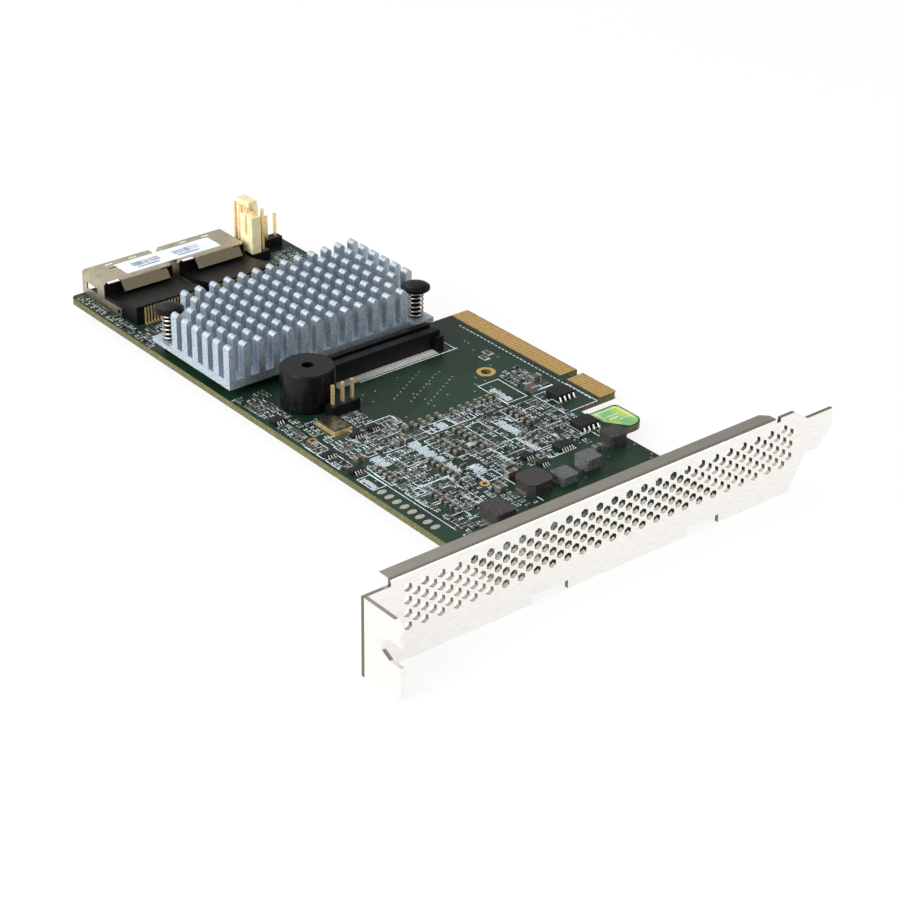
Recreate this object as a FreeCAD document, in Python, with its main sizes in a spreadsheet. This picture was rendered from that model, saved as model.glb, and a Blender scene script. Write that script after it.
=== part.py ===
import FreeCAD, Part
import math
import os
import re

import Sketcher
from FreeCAD import Placement, Rotation, Vector

# Low-profile PCI Express storage controller card on a full-height bracket.
# Origin: centre line of the key notch, at the finger ends, on the component face.
# +X runs towards the finger ends, +Y from the bracket to the rear, +Z up from the component face.
# Places on the board are given as "in" (from the long top edge) and "back" (from the bracket's face).

doc = FreeCAD.newDocument("StorageController")
sizes = doc.addObject("Spreadsheet::Sheet", "Sizes")

values = {
    "Board": {
        "board_width": 68.9, "board_thick": 1.57, "board_rear": 161.2, "board_gap": 0.4,
        "rear_setback": 10.6, "front_setback": 12.3, "corner_round": 1.5,
        "key_to_face": 60.09, "key_width": 1.9, "key_depth": 4.4,
        "tab_near": 12.15, "tab_far": 39.15, "tab_corner": 1.2,
        "hook_rear": 44.0, "hook_front": 34.5, "hook_reach": 4.1, "hook_round": 3.0,
        "tooling_bore": 2.4, "tooling_ring": 4.3, "test_ring": 2.2, "screw_bore": 2.8, "pin_bore": 3.0, "lead_bore": 1.0,
    },
    "Edge contacts": {
        "contact_pitch": 1.0, "contact_width": 0.7, "contact_length": 4.2, "contact_inset": 0.45,
        "contact_thick": 0.05, "contact_key_gap": 1.5, "near_contacts": 11, "far_contacts": 38,
    },
    "Bracket": {
        "sheet_thick": 0.86, "bracket_length": 120.02, "tab_to_edge": 36.1, "bracket_top": 14.1,
        "bracket_width": 18.42, "tongue_width": 8.1, "tongue_drop": 2.7, "tongue_length": 7.4,
        "shoulder_length": 4.0, "slope_length": 4.0, "tongue_round": 3.8, "rim_depth": 3.6,
        "rim_start": 6.0, "rim_relief": 1.1, "tab_reach": 11.43, "tab_top": 12.7, "tab_chamfer": 1.7,
        "notch_width": 4.42, "notch_centre": 5.5, "notch_depth": 5.4, "bend_round": 0.6,
        "ear_width": 9.0, "ear_length": 10.5, "ear_first": 8.0, "ear_second": 48.0, "screw_back": 6.8,
    },
    "Perforation": {
        "hole_across": 1.7, "hole_pitch": 3.84, "hole_rise": 2.74, "field_start": 9.9,
        "field_low": 2.85, "field_end": 0.75, "field_rows": 4,
    },
    "Bracket screw": {
        "screw_thread": 2.4, "screw_head": 5.0, "screw_head_thick": 1.7, "screw_length": 3.6,
        "drive_width": 0.8, "drive_span": 2.8, "drive_depth": 0.9,
    },
    "Controller and heat sink": {
        "chip_size": 27.0, "chip_thick": 1.75, "pad_size": 20.0, "pad_thick": 0.25, "ball_gap": 0.0,
        "sink_in": 0.6, "sink_back": 96.2, "sink_width": 55.8, "sink_depth": 30.4, "sink_base": 2.0,
        "sink_height": 10.0, "fin_width": 1.7, "fin_length": 2.1, "fin_columns": 15, "fin_rows": 8,
        "fin_round": 0.55, "ear_thick": 1.1, "ear_columns": 2, "ear_rows": 2, "sink_bore": 2.6,
    },
    "Push pin": {
        "pin_shaft": 2.2, "pin_cap": 6.6, "pin_cap_thick": 1.3, "pin_cap_top": 10.7, "pin_tip": 2.4,
        "pin_barb": 3.6, "pin_split": 0.6, "pin_pad": 3.4, "spring_wire": 0.45, "spring_size": 3.7,
        "spring_turns": 5.0, "spring_gap": 0.05,
    },
    "SAS port": {
        "port_in": 3.7, "port_pitch": 20.4, "port_width": 18.8, "port_top": 5.7, "port_metal": 0.3,
        "port_rear": 161.6, "port_front": 151.9, "port_round": 0.7, "strip_height": 1.9,
        "strip_front": 144.6, "strip_window": 1.2, "latch_length": 4.6, "latch_height": 1.6,
        "latch_low": 1.7, "slot_length": 2.2, "slot_width": 0.7, "slot_back": 157.6,
        "flap_width": 12.4, "flap_reach": 2.3, "flap_drop": 2.3, "flap_in": 4.3, "flap_taper": 1.4,
        "cage_tab_width": 3.0, "cage_tab_reach": 0.8, "cage_tab_in": 0.9,
        "block_front": 138.6, "block_lip": 4.5, "block_low": 2.7, "block_floor": 0.5,
        "block_rear": 154.9, "block_clear": 0.05, "card_width": 14.8, "card_height": 1.5, "card_depth": 2.4,
        "port_lead_pitch": 0.8, "port_leads": 18, "port_lead_width": 0.36, "port_lead_thick": 0.25,
        "port_lead_drop": 0.7, "port_foot": 1.0,
    },
    "Port label": {
        "label_in": 11.0, "label_back": 153.2, "label_length": 26.0, "label_depth": 6.0, "label_thick": 0.08,
    },
    "Buzzer": {
        "buzzer_in": 12.9, "buzzer_back": 84.7, "buzzer_size": 12.0, "buzzer_height": 9.1,
        "buzzer_chamfer": 0.35, "buzzer_port": 2.6, "buzzer_port_depth": 1.6, "buzzer_foot": 0.4,
        "buzzer_lead": 0.6, "buzzer_lead_pitch": 7.6, "buzzer_stand": 1.2, "buzzer_spread": 3.2, "lead_stickout": 1.2,
    },
    "Mezzanine connector": {
        "mezz_in": 19.6, "mezz_back": 88.2, "mezz_length": 32.2, "mezz_depth": 5.0, "mezz_height": 4.4,
        "mezz_end": 2.0, "mezz_end_height": 3.4, "mezz_end_back": 1.4, "mezz_slot": 2.0,
        "mezz_slot_depth": 3.0, "mezz_blade": 0.9, "mezz_blade_drop": 0.5, "mezz_pitch": 0.5,
        "mezz_leads": 56, "mezz_lead_width": 0.22, "mezz_lead_thick": 0.16, "mezz_foot": 1.1,
    },
    "Pin headers": {
        "header_pitch": 2.54, "header_pin": 0.64, "header_base": 2.5, "jumper_in": 13.9,
        "jumper_back": 77.1, "jumper_top": 7.0, "led_in": 52.2, "led_back": 156.2, "led_top": 8.3,
        "tall_in": 45.25, "tall_back": 151.3, "tall_top": 13.0, "shunt_height": 9.3,
        "rear_shunt_height": 11.0, "shunt_width": 2.5, "shunt_slot": 0.8, "shunt_slot_height": 5.0,
    },
    "Crystal": {
        "crystal_in": 8.3, "crystal_back": 68.9, "crystal_width": 4.6, "crystal_length": 6.8,
        "crystal_height": 1.3, "crystal_rim": 0.3, "crystal_base": 0.85,
    },
    "Solder side": {
        "memory_in": 8.0, "memory_front": 62.0, "memory_back": 100.0, "memory_pitch": 15.5,
        "memory_width": 9.0, "memory_length": 13.0, "memory_thick": 1.1, "chip_cap_in": 9.2,
        "chip_cap_front": 78.4, "chip_cap_back": 96.0, "chip_cap_pitch": 4.1, "chip_cap_length": 1.6,
        "chip_cap_width": 0.8,
    },
}

aliases = set()
row = 1
for group, entries in values.items():
    sizes.set("A%d" % row, group)
    row += 1
    for alias, number in entries.items():
        sizes.set("A%d" % row, alias)
        sizes.set("B%d" % row, str(number))
        sizes.setAlias("B%d" % row, alias)
        aliases.add(alias)
        row += 1
doc.recompute()


def full(expression):
    """Turns bare size names into references to the spreadsheet."""
    return re.sub(r"[a-z][a-z_0-9]*", lambda m: "Sizes." + m.group() if m.group() in aliases else m.group(),
                  expression)


def value(expression):
    found = sizes.evalExpression(full(expression))
    return float(getattr(found, "Value", found))


def derive(alias, expression):
    """Adds a worked-out size to the sheet, so that every object can use it by name."""
    global row
    sizes.set("A%d" % row, alias)
    sizes.set("B%d" % row, "=" + re.sub(r"Sizes\.", "", full(expression)))
    sizes.setAlias("B%d" % row, alias)
    aliases.add(alias)
    row += 1
    doc.recompute()


derive("edge_x", "-board_width")
derive("face_y", "-key_to_face")
derive("bracket_low", "bracket_top - bracket_width")
derive("tab_x", "edge_x - tab_to_edge")
derive("tongue_x", "tab_x + bracket_length")
derive("ear_top", "-board_thick")
derive("fin_pitch_x", "(sink_width - fin_width) / (fin_columns - 1)")
derive("fin_pitch_y", "(sink_depth - fin_length) / (fin_rows - 1)")
derive("sink_low", "chip_thick + pad_thick")
derive("sink_ear_x", "ear_columns * fin_pitch_x - (fin_pitch_x - fin_width)")
derive("sink_ear_y", "ear_rows * fin_pitch_y - (fin_pitch_y - fin_length)")
derive("right_pin_x", "edge_x + sink_in + sink_width - sink_ear_x / 2")
derive("right_pin_y", "face_y + sink_back + sink_ear_y / 2")
derive("left_pin_x", "edge_x + sink_in + sink_ear_x / 2")
derive("left_pin_y", "face_y + sink_back + sink_depth - sink_ear_y / 2")
derive("ear_level", "sink_low + ear_thick")

parts = {}


def tie(item, **bindings):
    """Binds properties to expressions; x, y and z stand for the placement."""
    for prop, expression in bindings.items():
        if prop in ("x", "y", "z"):
            prop = "Placement.Base." + prop
        item.setExpression(prop, full(str(expression)))
    return item


def block(name, length, width, height, x="0", y="0", z="0"):
    box = doc.addObject("Part::Box", name)
    return tie(box, Length=length, Width=width, Height=height, x=x, y=y, z=z)


def rod(name, radius, height, x="0", y="0", z="0"):
    cylinder = doc.addObject("Part::Cylinder", name)
    return tie(cylinder, Radius=radius, Height=height, x=x, y=y, z=z)


def cut(name, base, tool):
    result = doc.addObject("Part::Cut", name)
    result.Base, result.Tool = base, tool
    return result


def fuse(name, *shapes):
    result = doc.addObject("Part::MultiFuse", name)
    result.Shapes = list(shapes)
    result.Refine = True
    return result


def feature(name, shape):
    item = doc.addObject("Part::Feature", name)
    item.Shape = shape
    return item


def part(node, item):
    item.Label = node
    parts[node] = item
    return item


def newBody(name, x="0", y="0", z="0"):
    return tie(doc.addObject("PartDesign::Body", name), x=x, y=y, z=z)


def plane(body, role):
    return [f for f in body.Origin.OriginFeatures if f.Role == role][0]


def sketchOn(body, name, role, lift="0"):
    """A sketch on one of the body's own planes, lifted along the plane's normal."""
    sketch = body.newObject("Sketcher::SketchObject", name)
    sketch.AttachmentSupport = (plane(body, role), "")
    sketch.MapMode = "FlatFace"
    sketch.setExpression("AttachmentOffset.Base.z", full(lift))
    return sketch


def pin(sketch, geometry, position, x, y):
    """Fixes a point of the sketch at two expressions."""
    for kind, expression in (("DistanceX", x), ("DistanceY", y)):
        index = sketch.addConstraint(
            Sketcher.Constraint(kind, -1, 1, geometry, position, value(expression)))
        sketch.setExpression("Constraints[%d]" % index, full(expression))


def polygon(sketch, points):
    """A closed outline whose corners all follow the sheet."""
    corners = [Vector(value(x), value(y), 0) for x, y in points]
    first = sketch.GeometryCount
    for start, end in zip(corners, corners[1:] + corners[:1]):
        sketch.addGeometry(Part.LineSegment(start, end), False)
    for i in range(len(points)):
        following = first + (i + 1) % len(points)
        sketch.addConstraint(Sketcher.Constraint("Coincident", first + i, 2, following, 1))
    for i, (x, y) in enumerate(points):
        pin(sketch, first + i, 1, x, y)


def circle(sketch, x, y, diameter):
    centre = Vector(value(x), value(y), 0)
    index = sketch.addGeometry(Part.Circle(centre, Vector(0, 0, 1), value(diameter) / 2), False)
    pin(sketch, index, 3, x, y)
    size = sketch.addConstraint(Sketcher.Constraint("Diameter", index, value(diameter)))
    sketch.setExpression("Constraints[%d]" % size, full(diameter))


def pad(body, sketch, length, reverse=False, middle=False):
    item = body.newObject("PartDesign::Pad", sketch.Name + "Pad")
    item.Profile = sketch
    item.setExpression("Length", full(length))
    item.Reversed = reverse
    item.Midplane = middle
    sketch.Visibility = False
    doc.recompute()
    return item


def pocket(body, sketch, length=None, reverse=False, middle=False):
    before = body.Shape.Volume
    item = body.newObject("PartDesign::Pocket", sketch.Name + "Pocket")
    item.Profile = sketch
    if length is None:
        item.Type = "ThroughAll"
    else:
        item.setExpression("Length", full(length))
    item.Reversed = reverse
    item.Midplane = middle
    doc.recompute()
    if not body.Shape.Volume < before:
        raise RuntimeError(sketch.Name + " removes nothing")
    return item


def repeat(body, item, role, count, length):
    """Repeats a feature along an origin axis of its body."""
    item.Refine = False
    pattern = body.newObject("PartDesign::LinearPattern", item.Name + "Row")
    pattern.Refine = False
    pattern.Originals = [item]
    pattern.Direction = (plane(body, role), [""])
    pattern.setExpression("Length", full(length))
    pattern.setExpression("Occurrences", full(count))
    body.Tip = pattern
    doc.recompute()
    return pattern


def cornerFillet(body, corners, radius):
    """Rounds the upright edges that stand at the given corners."""
    found = []
    for i, edge in enumerate(body.Shape.Edges):
        start, end = edge.Vertexes[0].Point, edge.Vertexes[-1].Point
        if abs(start.z - end.z) < 1e-6:
            continue
        for x, y in corners:
            if math.hypot(start.x - value(x), start.y - value(y)) < 1e-4 > math.hypot(
                    end.x - value(x), end.y - value(y)):
                found.append("Edge%d" % (i + 1))
    last = body.Tip
    item = body.newObject("PartDesign::Fillet", body.Name + "Round%d" % len(body.Group))
    item.Base = (last, found)
    item.setExpression("Radius", full(radius))
    doc.recompute()
    return item


def boxes(corners, length, width, height):
    """A group of equal blocks, one on each corner."""
    return Part.makeCompound([Part.makeBox(length, width, height, corner) for corner in corners])


# Push-pin, screw, lead and tooling places, shared by the board and by what passes through it.
pushPins = [("right_pin_x", "right_pin_y"), ("left_pin_x", "left_pin_y")]
screws = [("edge_x + ear_first", "face_y + screw_back"), ("edge_x + ear_second", "face_y + screw_back")]
tooling = [("edge_x + 52.3", "face_y + 72.5", "tooling_bore", "tooling_ring"),
           ("edge_x + 20.7", "face_y + 34.8", "lead_bore", "test_ring"),
           ("edge_x + 3.7", "face_y + 70.5", "lead_bore", "test_ring")]
leads = []

# Pin headers: a moulded base with square pins pressed through it.


def pinHeader(name, columns, rows, x, y, top):
    """x and y are the first pin's place; the base is one pitch wide per pin."""
    pitch, side = value("header_pitch"), value("header_pin")
    places = [(value(x) + i * pitch, value(y) + j * pitch) for i in range(columns) for j in range(rows)]
    leads.extend((px, py, value("lead_bore")) for px, py in places)
    low = -value("board_thick + lead_stickout")
    corners = [Vector(px - side / 2, py - side / 2, low) for px, py in places]
    pins = part(name + "_pins", feature(name + "Pins", boxes(corners, side, side, value(top) - low)))
    base = block(name + "Block", "%d * header_pitch" % columns, "%d * header_pitch" % rows, "header_base",
                 x + " - header_pitch / 2", y + " - header_pitch / 2")
    part(name + "_base", cut(name + "Base", base, pins))
    return places


pinHeader("jumper_header", 3, 1, "edge_x + jumper_in", "face_y + jumper_back", "jumper_top")
pinHeader("led_header", 2, 1, "edge_x + led_in", "face_y + led_back", "led_top")
tallPins = pinHeader("tall_header", 2, 4, "edge_x + tall_in", "face_y + tall_back", "tall_top")

# Buzzer: a moulded can on four feet, with its sound port and two leads.
can = newBody("BuzzerCan", "edge_x + buzzer_in", "face_y + buzzer_back")
canProfile = sketchOn(can, "CanProfile", "XZ_Plane")
polygon(canProfile, [
    ("0", "buzzer_foot"), ("buzzer_size / 2", "buzzer_foot"),
    ("buzzer_size / 2", "buzzer_height - buzzer_chamfer"),
    ("buzzer_size / 2 - buzzer_chamfer", "buzzer_height"), ("buzzer_port / 2", "buzzer_height"),
    ("buzzer_port / 2", "buzzer_height - buzzer_port_depth"), ("0", "buzzer_height - buzzer_port_depth")])
turned = can.newObject("PartDesign::Revolution", "CanTurned")
turned.Profile = canProfile
turned.ReferenceAxis = (canProfile, ["V_Axis"])
turned.Angle = 360
doc.recompute()
feet = sketchOn(can, "CanFeet", "XY_Plane")
for low, high in (("-buzzer_spread - buzzer_stand", "-buzzer_spread"), ("buzzer_spread", "buzzer_spread + buzzer_stand")):
    polygon(feet, [(low, "-buzzer_stand"), (high, "-buzzer_stand"), (high, "buzzer_stand"), (low, "buzzer_stand")])
pad(can, feet, "buzzer_foot + 0.1")
part("buzzer", can)

buzzerLeads = []
for sign in (-1, 1):
    x = value("edge_x + buzzer_in")
    y = value("face_y + buzzer_back") + sign * value("buzzer_lead_pitch") / 2
    low = -value("board_thick + lead_stickout")
    leads.append((x, y, value("lead_bore")))
    side = value("buzzer_lead")
    buzzerLeads.append(Part.makeBox(side, side, value("buzzer_foot") - low, Vector(x - side / 2, y - side / 2, low)))
part("buzzer_leads", feature("BuzzerLeads", Part.makeCompound(buzzerLeads)))

# Circuit board: one outline with the finger tab, the key notch and the retention hook.
board = newBody("Board")
outline = sketchOn(board, "BoardOutline", "XY_Plane")
front = "face_y + sheet_thick + board_gap"
rear = "face_y + board_rear"
polygon(outline, [
    ("edge_x", front), ("-front_setback", front), ("-front_setback", "face_y + hook_front"),
    ("-hook_reach", "face_y + hook_front"), ("-hook_reach", "face_y + hook_rear"),
    ("-front_setback", "face_y + hook_rear"), ("-front_setback", "-tab_near"), ("0", "-tab_near"),
    ("0", "-key_width / 2"), ("-key_depth", "-key_width / 2"), ("-key_depth", "key_width / 2"),
    ("0", "key_width / 2"), ("0", "tab_far"), ("-rear_setback", "tab_far"), ("-rear_setback", rear),
    ("edge_x", rear)])
pad(board, outline, "board_thick", reverse=True)
cornerFillet(board, [("edge_x", front), ("edge_x", rear), ("-rear_setback", rear)], "corner_round")
cornerFillet(board, [("-hook_reach", "face_y + hook_front")], "hook_round")
cornerFillet(board, [("0", "-tab_near"), ("0", "tab_far"), ("-hook_reach", "face_y + hook_rear")], "tab_corner")
cornerFillet(board, [("-key_depth", "-key_width / 2"), ("-key_depth", "key_width / 2")], "key_width * 0.45")
drilled = sketchOn(board, "BoardHoles", "XY_Plane")
for x, y in pushPins:
    circle(drilled, x, y, "pin_bore")
for x, y in screws:
    circle(drilled, x, y, "screw_bore")
for x, y, bore, size in tooling:
    circle(drilled, x, y, bore)
pocket(board, drilled)
# Lead holes have eight flats, which keeps the mesh light; solder fills them in the real board.


def prism(sides, across, height, x, y, z):
    radius = across / 2 / math.cos(math.pi / sides)
    points = [Vector(x + radius * math.cos(a), y + radius * math.sin(a), z)
              for a in [math.pi / sides * (2 * k + 1) for k in range(sides + 1)]]
    return Part.Face(Part.makePolygon(points)).extrude(Vector(0, 0, height))


leadHoles = feature("LeadHoles", Part.makeCompound([
    prism(8, bore, 3 * value("board_thick"), x, y, -2 * value("board_thick")) for x, y, bore in leads]))
part("circuit_board", cut("CircuitBoard", board, leadHoles))

# Gold edge contacts, the same row on both faces of the finger tab.


def contactRow(z):
    pitch, width, gap = value("contact_pitch"), value("contact_width"), value("contact_key_gap")
    centres = [-gap - pitch * i for i in range(int(value("near_contacts")))]
    centres += [gap + pitch * i for i in range(int(value("far_contacts")))]
    x = -value("contact_inset + contact_length")
    return boxes([Vector(x, y - width / 2, z) for y in centres], value("contact_length"), width,
                 value("contact_thick"))


part("edge_contacts_top", feature("ContactsTop", contactRow(0)))
part("edge_contacts_bottom", feature("ContactsBottom", contactRow(-value("board_thick + contact_thick"))))

# Plated rings round the tooling holes.
rings = []
for x, y, bore, size in tooling:
    centre = Vector(value(x), value(y), 0)
    disc = Part.makeCylinder(value(size) / 2, value("contact_thick"), centre)
    rings.append(disc.cut(Part.makeCylinder(value(bore) / 2, value("contact_thick"), centre)))
part("plated_rings", feature("ToolingRings", Part.makeCompound(rings)))

# Bracket: one folded sheet with a tongue, side rims, a screw tab and two ears under the board.
bracket = newBody("BracketSheet")
face = sketchOn(bracket, "FaceOutline", "XZ_Plane", "key_to_face")
earEdges = []
for ear in ("ear_first", "ear_second"):
    left, right = "edge_x + %s - ear_width / 2" % ear, "edge_x + %s + ear_width / 2" % ear
    earEdges += [(left, "bracket_low"), (left, "ear_top - sheet_thick"),
                 (right, "ear_top - sheet_thick"), (right, "bracket_low")]
shoulder = "tongue_x - tongue_length - slope_length"
polygon(face, [("tab_x", "bracket_low")] + earEdges + [
    (shoulder, "bracket_low"),
    ("tongue_x - tongue_length", "bracket_top - tongue_drop - tongue_width"),
    ("tongue_x - tongue_round", "bracket_top - tongue_drop - tongue_width"),
    ("tongue_x", "bracket_top - tongue_drop - tongue_width + tongue_round"),
    ("tongue_x", "bracket_top - tongue_drop"),
    ("tongue_x - tongue_length", "bracket_top - tongue_drop"), (shoulder, "bracket_top"),
    (shoulder + " - shoulder_length", "bracket_top"),
    (shoulder + " - shoulder_length", "bracket_top - sheet_thick"),
    ("tab_x + rim_start", "bracket_top - sheet_thick"), ("tab_x + rim_start", "tab_top"),
    ("tab_x", "tab_top")])
pad(bracket, face, "sheet_thick", reverse=True)

rims = sketchOn(bracket, "TopRim", "XY_Plane", "bracket_top - sheet_thick")
rimEnd = shoulder + " - shoulder_length - rim_relief"
polygon(rims, [("tab_x + rim_start", "face_y"), (rimEnd, "face_y"), (rimEnd, "face_y + rim_depth - 1.5"),
               (rimEnd + " - 1.5", "face_y + rim_depth"), ("tab_x + rim_start", "face_y + rim_depth")])
pad(bracket, rims, "sheet_thick")
lowRims = sketchOn(bracket, "LowRims", "XY_Plane", "bracket_low")
spans = [("tab_x + rim_start", "edge_x + ear_first - ear_width / 2 - rim_relief"),
         ("edge_x + ear_first + ear_width / 2 + rim_relief", "edge_x + ear_second - ear_width / 2 - rim_relief"),
         ("edge_x + ear_second + ear_width / 2 + rim_relief", rimEnd)]
for start, end in spans:
    polygon(lowRims, [(start, "face_y"), (end, "face_y"), (end, "face_y + rim_depth"),
                      (start, "face_y + rim_depth")])
pad(bracket, lowRims, "sheet_thick")
ears = sketchOn(bracket, "Ears", "XY_Plane", "ear_top")
for ear in ("ear_first", "ear_second"):
    left, right = "edge_x + %s - ear_width / 2" % ear, "edge_x + %s + ear_width / 2" % ear
    polygon(ears, [(left, "face_y"), (right, "face_y"), (right, "face_y + ear_length - 2"),
                   (right + " - 2", "face_y + ear_length"), (left + " + 2", "face_y + ear_length"),
                   (left, "face_y + ear_length - 2")])
pad(bracket, ears, "sheet_thick", reverse=True)
threads = sketchOn(bracket, "EarThreads", "XY_Plane", "ear_top - sheet_thick")
for x, y in screws:
    circle(threads, x, y, "screw_thread")
pocket(bracket, threads, "sheet_thick", reverse=True)
screwTab = sketchOn(bracket, "ScrewTab", "YZ_Plane", "tab_x")
outer = "face_y + sheet_thick - tab_reach"
polygon(screwTab, [
    ("face_y + sheet_thick", "bracket_low"), ("face_y + sheet_thick", "tab_top"),
    (outer + " + tab_chamfer", "tab_top"), (outer, "tab_top - tab_chamfer"),
    (outer, "notch_centre + notch_width / 2"), (outer + " + notch_depth - notch_width / 2",
                                                "notch_centre + notch_width / 2"),
    (outer + " + notch_depth", "notch_centre + notch_width / 4"),
    (outer + " + notch_depth", "notch_centre - notch_width / 4"),
    (outer + " + notch_depth - notch_width / 2", "notch_centre - notch_width / 2"),
    (outer, "notch_centre - notch_width / 2"), (outer, "bracket_low + tab_chamfer"),
    (outer + " + tab_chamfer", "bracket_low")])
pad(bracket, screwTab, "sheet_thick")


def bendEdges(body, y, levels, spread):
    """The outer edges of the folds that run along X on the face side."""
    found = []
    for i, edge in enumerate(body.Shape.Edges):
        box = edge.BoundBox
        if box.XLength > spread and box.YLength < 1e-6 and box.ZLength < 1e-6:
            if abs(box.YMin - y) < 1e-5 and min(abs(box.ZMin - level) for level in levels) < 1e-5:
                found.append("Edge%d" % (i + 1))
    return found


last = bracket.Tip
folds = bracket.newObject("PartDesign::Fillet", "Folds")
folds.Base = (last, bendEdges(bracket, value("face_y"), [value("bracket_top")], value("tab_to_edge - rim_start")))
folds.setExpression("Radius", full("bend_round"))
doc.recompute()

hexes = []
radius = value("hole_across") / math.sqrt(3)
fieldLength = "bracket_length - tongue_length - slope_length - field_start - field_end"
for column in range(int(value("(%s) / (hole_pitch / 2)" % fieldLength)) + 1):
    offset = column % 2
    for line in range(int(value("field_rows")) - offset):
        x = value("tab_x + field_start") + column * value("hole_pitch") / 2
        z = value("field_low") + (line + offset / 2) * value("hole_rise")
        points = [Vector(x + radius * math.sin(a), value("face_y") - 1, z + radius * math.cos(a))
                  for a in [math.radians(60 * k) for k in range(7)]]
        hexes.append(Part.Face(Part.makePolygon(points)).extrude(Vector(0, value("sheet_thick") + 2, 0)))
part("bracket", cut("Bracket", bracket, feature("Perforation", Part.makeCompound(hexes))))

# Bracket screws: from above through the board into the ears' threads.
for index, (x, y) in enumerate(screws):
    head = rod("ScrewHead%d" % index, "screw_head / 2", "screw_head_thick", x, y)
    shank = rod("ScrewShank%d" % index, "screw_thread / 2", "screw_length", x, y, "-screw_length")
    slots = fuse("Drive%d" % index,
                 block("DriveAcross%d" % index, "drive_span", "drive_width", "drive_depth",
                       x + " - drive_span / 2", y + " - drive_width / 2", "screw_head_thick - drive_depth"),
                 block("DriveAlong%d" % index, "drive_width", "drive_span", "drive_depth",
                       x + " - drive_width / 2", y + " - drive_span / 2", "screw_head_thick - drive_depth"))
    cut("Screw%d" % index, fuse("ScrewBlank%d" % index, head, shank), slots)
pair = doc.addObject("Part::Compound", "BracketScrews")
pair.Links = [doc.Screw0, doc.Screw1]
part("bracket_screws", pair)

# Controller package, thermal pad and pin-fin heat sink.
sinkX, sinkY = "edge_x + sink_in + sink_width / 2", "face_y + sink_back + sink_depth / 2"
part("controller_chip", block("Controller", "chip_size", "chip_size", "chip_thick",
                              sinkX + " - chip_size / 2", sinkY + " - chip_size / 2"))
part("thermal_pad", block("ThermalPad", "pad_size", "pad_size", "pad_thick",
                          sinkX + " - pad_size / 2", sinkY + " - pad_size / 2", "chip_thick"))

sink = newBody("Sink", "edge_x + sink_in", "face_y + sink_back", "sink_low")
blank = sketchOn(sink, "SinkBlank", "XY_Plane")
polygon(blank, [("0", "0"), ("sink_width", "0"), ("sink_width", "sink_depth"), ("0", "sink_depth")])
pad(sink, blank, "sink_height")
# Extruded channels run front to back; the cutter's mouth is wider, which rounds off the fin tips.
channel = sketchOn(sink, "Channel", "XZ_Plane")
polygon(channel, [
    ("fin_width - fin_pitch_x", "sink_base"), ("0", "sink_base"), ("0", "sink_height - fin_round"),
    ("fin_round", "sink_height"), ("fin_round", "sink_height + 1"),
    ("fin_width - fin_pitch_x - fin_round", "sink_height + 1"),
    ("fin_width - fin_pitch_x - fin_round", "sink_height"),
    ("fin_width - fin_pitch_x", "sink_height - fin_round")])
channelCut = pocket(sink, channel, "sink_depth")
repeat(sink, channelCut, "X_Axis", "fin_columns + 1", "fin_columns * fin_pitch_x")
# Cross cuts turn the fins into pins.
crossing = sketchOn(sink, "Crossing", "YZ_Plane")
polygon(crossing, [("fin_length", "sink_base"), ("fin_pitch_y", "sink_base"),
                   ("fin_pitch_y", "sink_height + 1"), ("fin_length", "sink_height + 1")])
crossCut = pocket(sink, crossing, "sink_width", reverse=True)
repeat(sink, crossCut, "Y_Axis", "fin_rows - 1", "(fin_rows - 2) * fin_pitch_y")
# The two corners are milled flat for the push pins.
earFlats = sketchOn(sink, "EarFlats", "XY_Plane", "sink_height")
gapX, gapY = "(fin_pitch_x - fin_width) / 2", "(fin_pitch_y - fin_length) / 2"
polygon(earFlats, [("sink_width - sink_ear_x - %s" % gapX, "-1"), ("sink_width + 1", "-1"),
                   ("sink_width + 1", "sink_ear_y + %s" % gapY),
                   ("sink_width - sink_ear_x - %s" % gapX, "sink_ear_y + %s" % gapY)])
polygon(earFlats, [("-1", "sink_depth - sink_ear_y - %s" % gapY), ("sink_ear_x + %s" % gapX,
                                                                  "sink_depth - sink_ear_y - %s" % gapY),
                   ("sink_ear_x + %s" % gapX, "sink_depth + 1"), ("-1", "sink_depth + 1")])
pocket(sink, earFlats, "sink_height - ear_thick")
earBores = sketchOn(sink, "EarBores", "XY_Plane", "sink_base")
circle(earBores, "sink_width - sink_ear_x / 2", "sink_ear_y / 2", "sink_bore")
circle(earBores, "sink_ear_x / 2", "sink_depth - sink_ear_y / 2", "sink_bore")
pocket(sink, earBores)
part("heat_sink", sink)

# Push pins and their springs.


def coilSpring(cx, cy, z, ring, wire, rise, turns, steps=10):
    """Square wire wound in flats, ten to a turn, as one closed solid."""
    count = int(round(turns * steps))
    loops = []
    for i in range(count + 1):
        a = 2 * math.pi * turns * i / count
        loops.append([Vector(cx + (ring + dx * wire / 2) * math.cos(a), cy + (ring + dx * wire / 2) * math.sin(a),
                             z + rise * i / count + dz * wire / 2)
                      for dx, dz in ((-1, -1), (1, -1), (1, 1), (-1, 1))])
    faces = [Part.Face(Part.makePolygon(loops[i] + loops[i][:1])) for i in (0, -1)]
    for start, end in zip(loops, loops[1:]):
        for k in range(4):
            a, b, c, d = start[k], start[(k + 1) % 4], end[(k + 1) % 4], end[k]
            faces += [Part.Face(Part.makePolygon([a, b, c, a])), Part.Face(Part.makePolygon([a, c, d, a]))]
    solid = Part.Solid(Part.Shell(faces))
    return solid if solid.Volume > 0 else solid.reversed()


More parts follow.
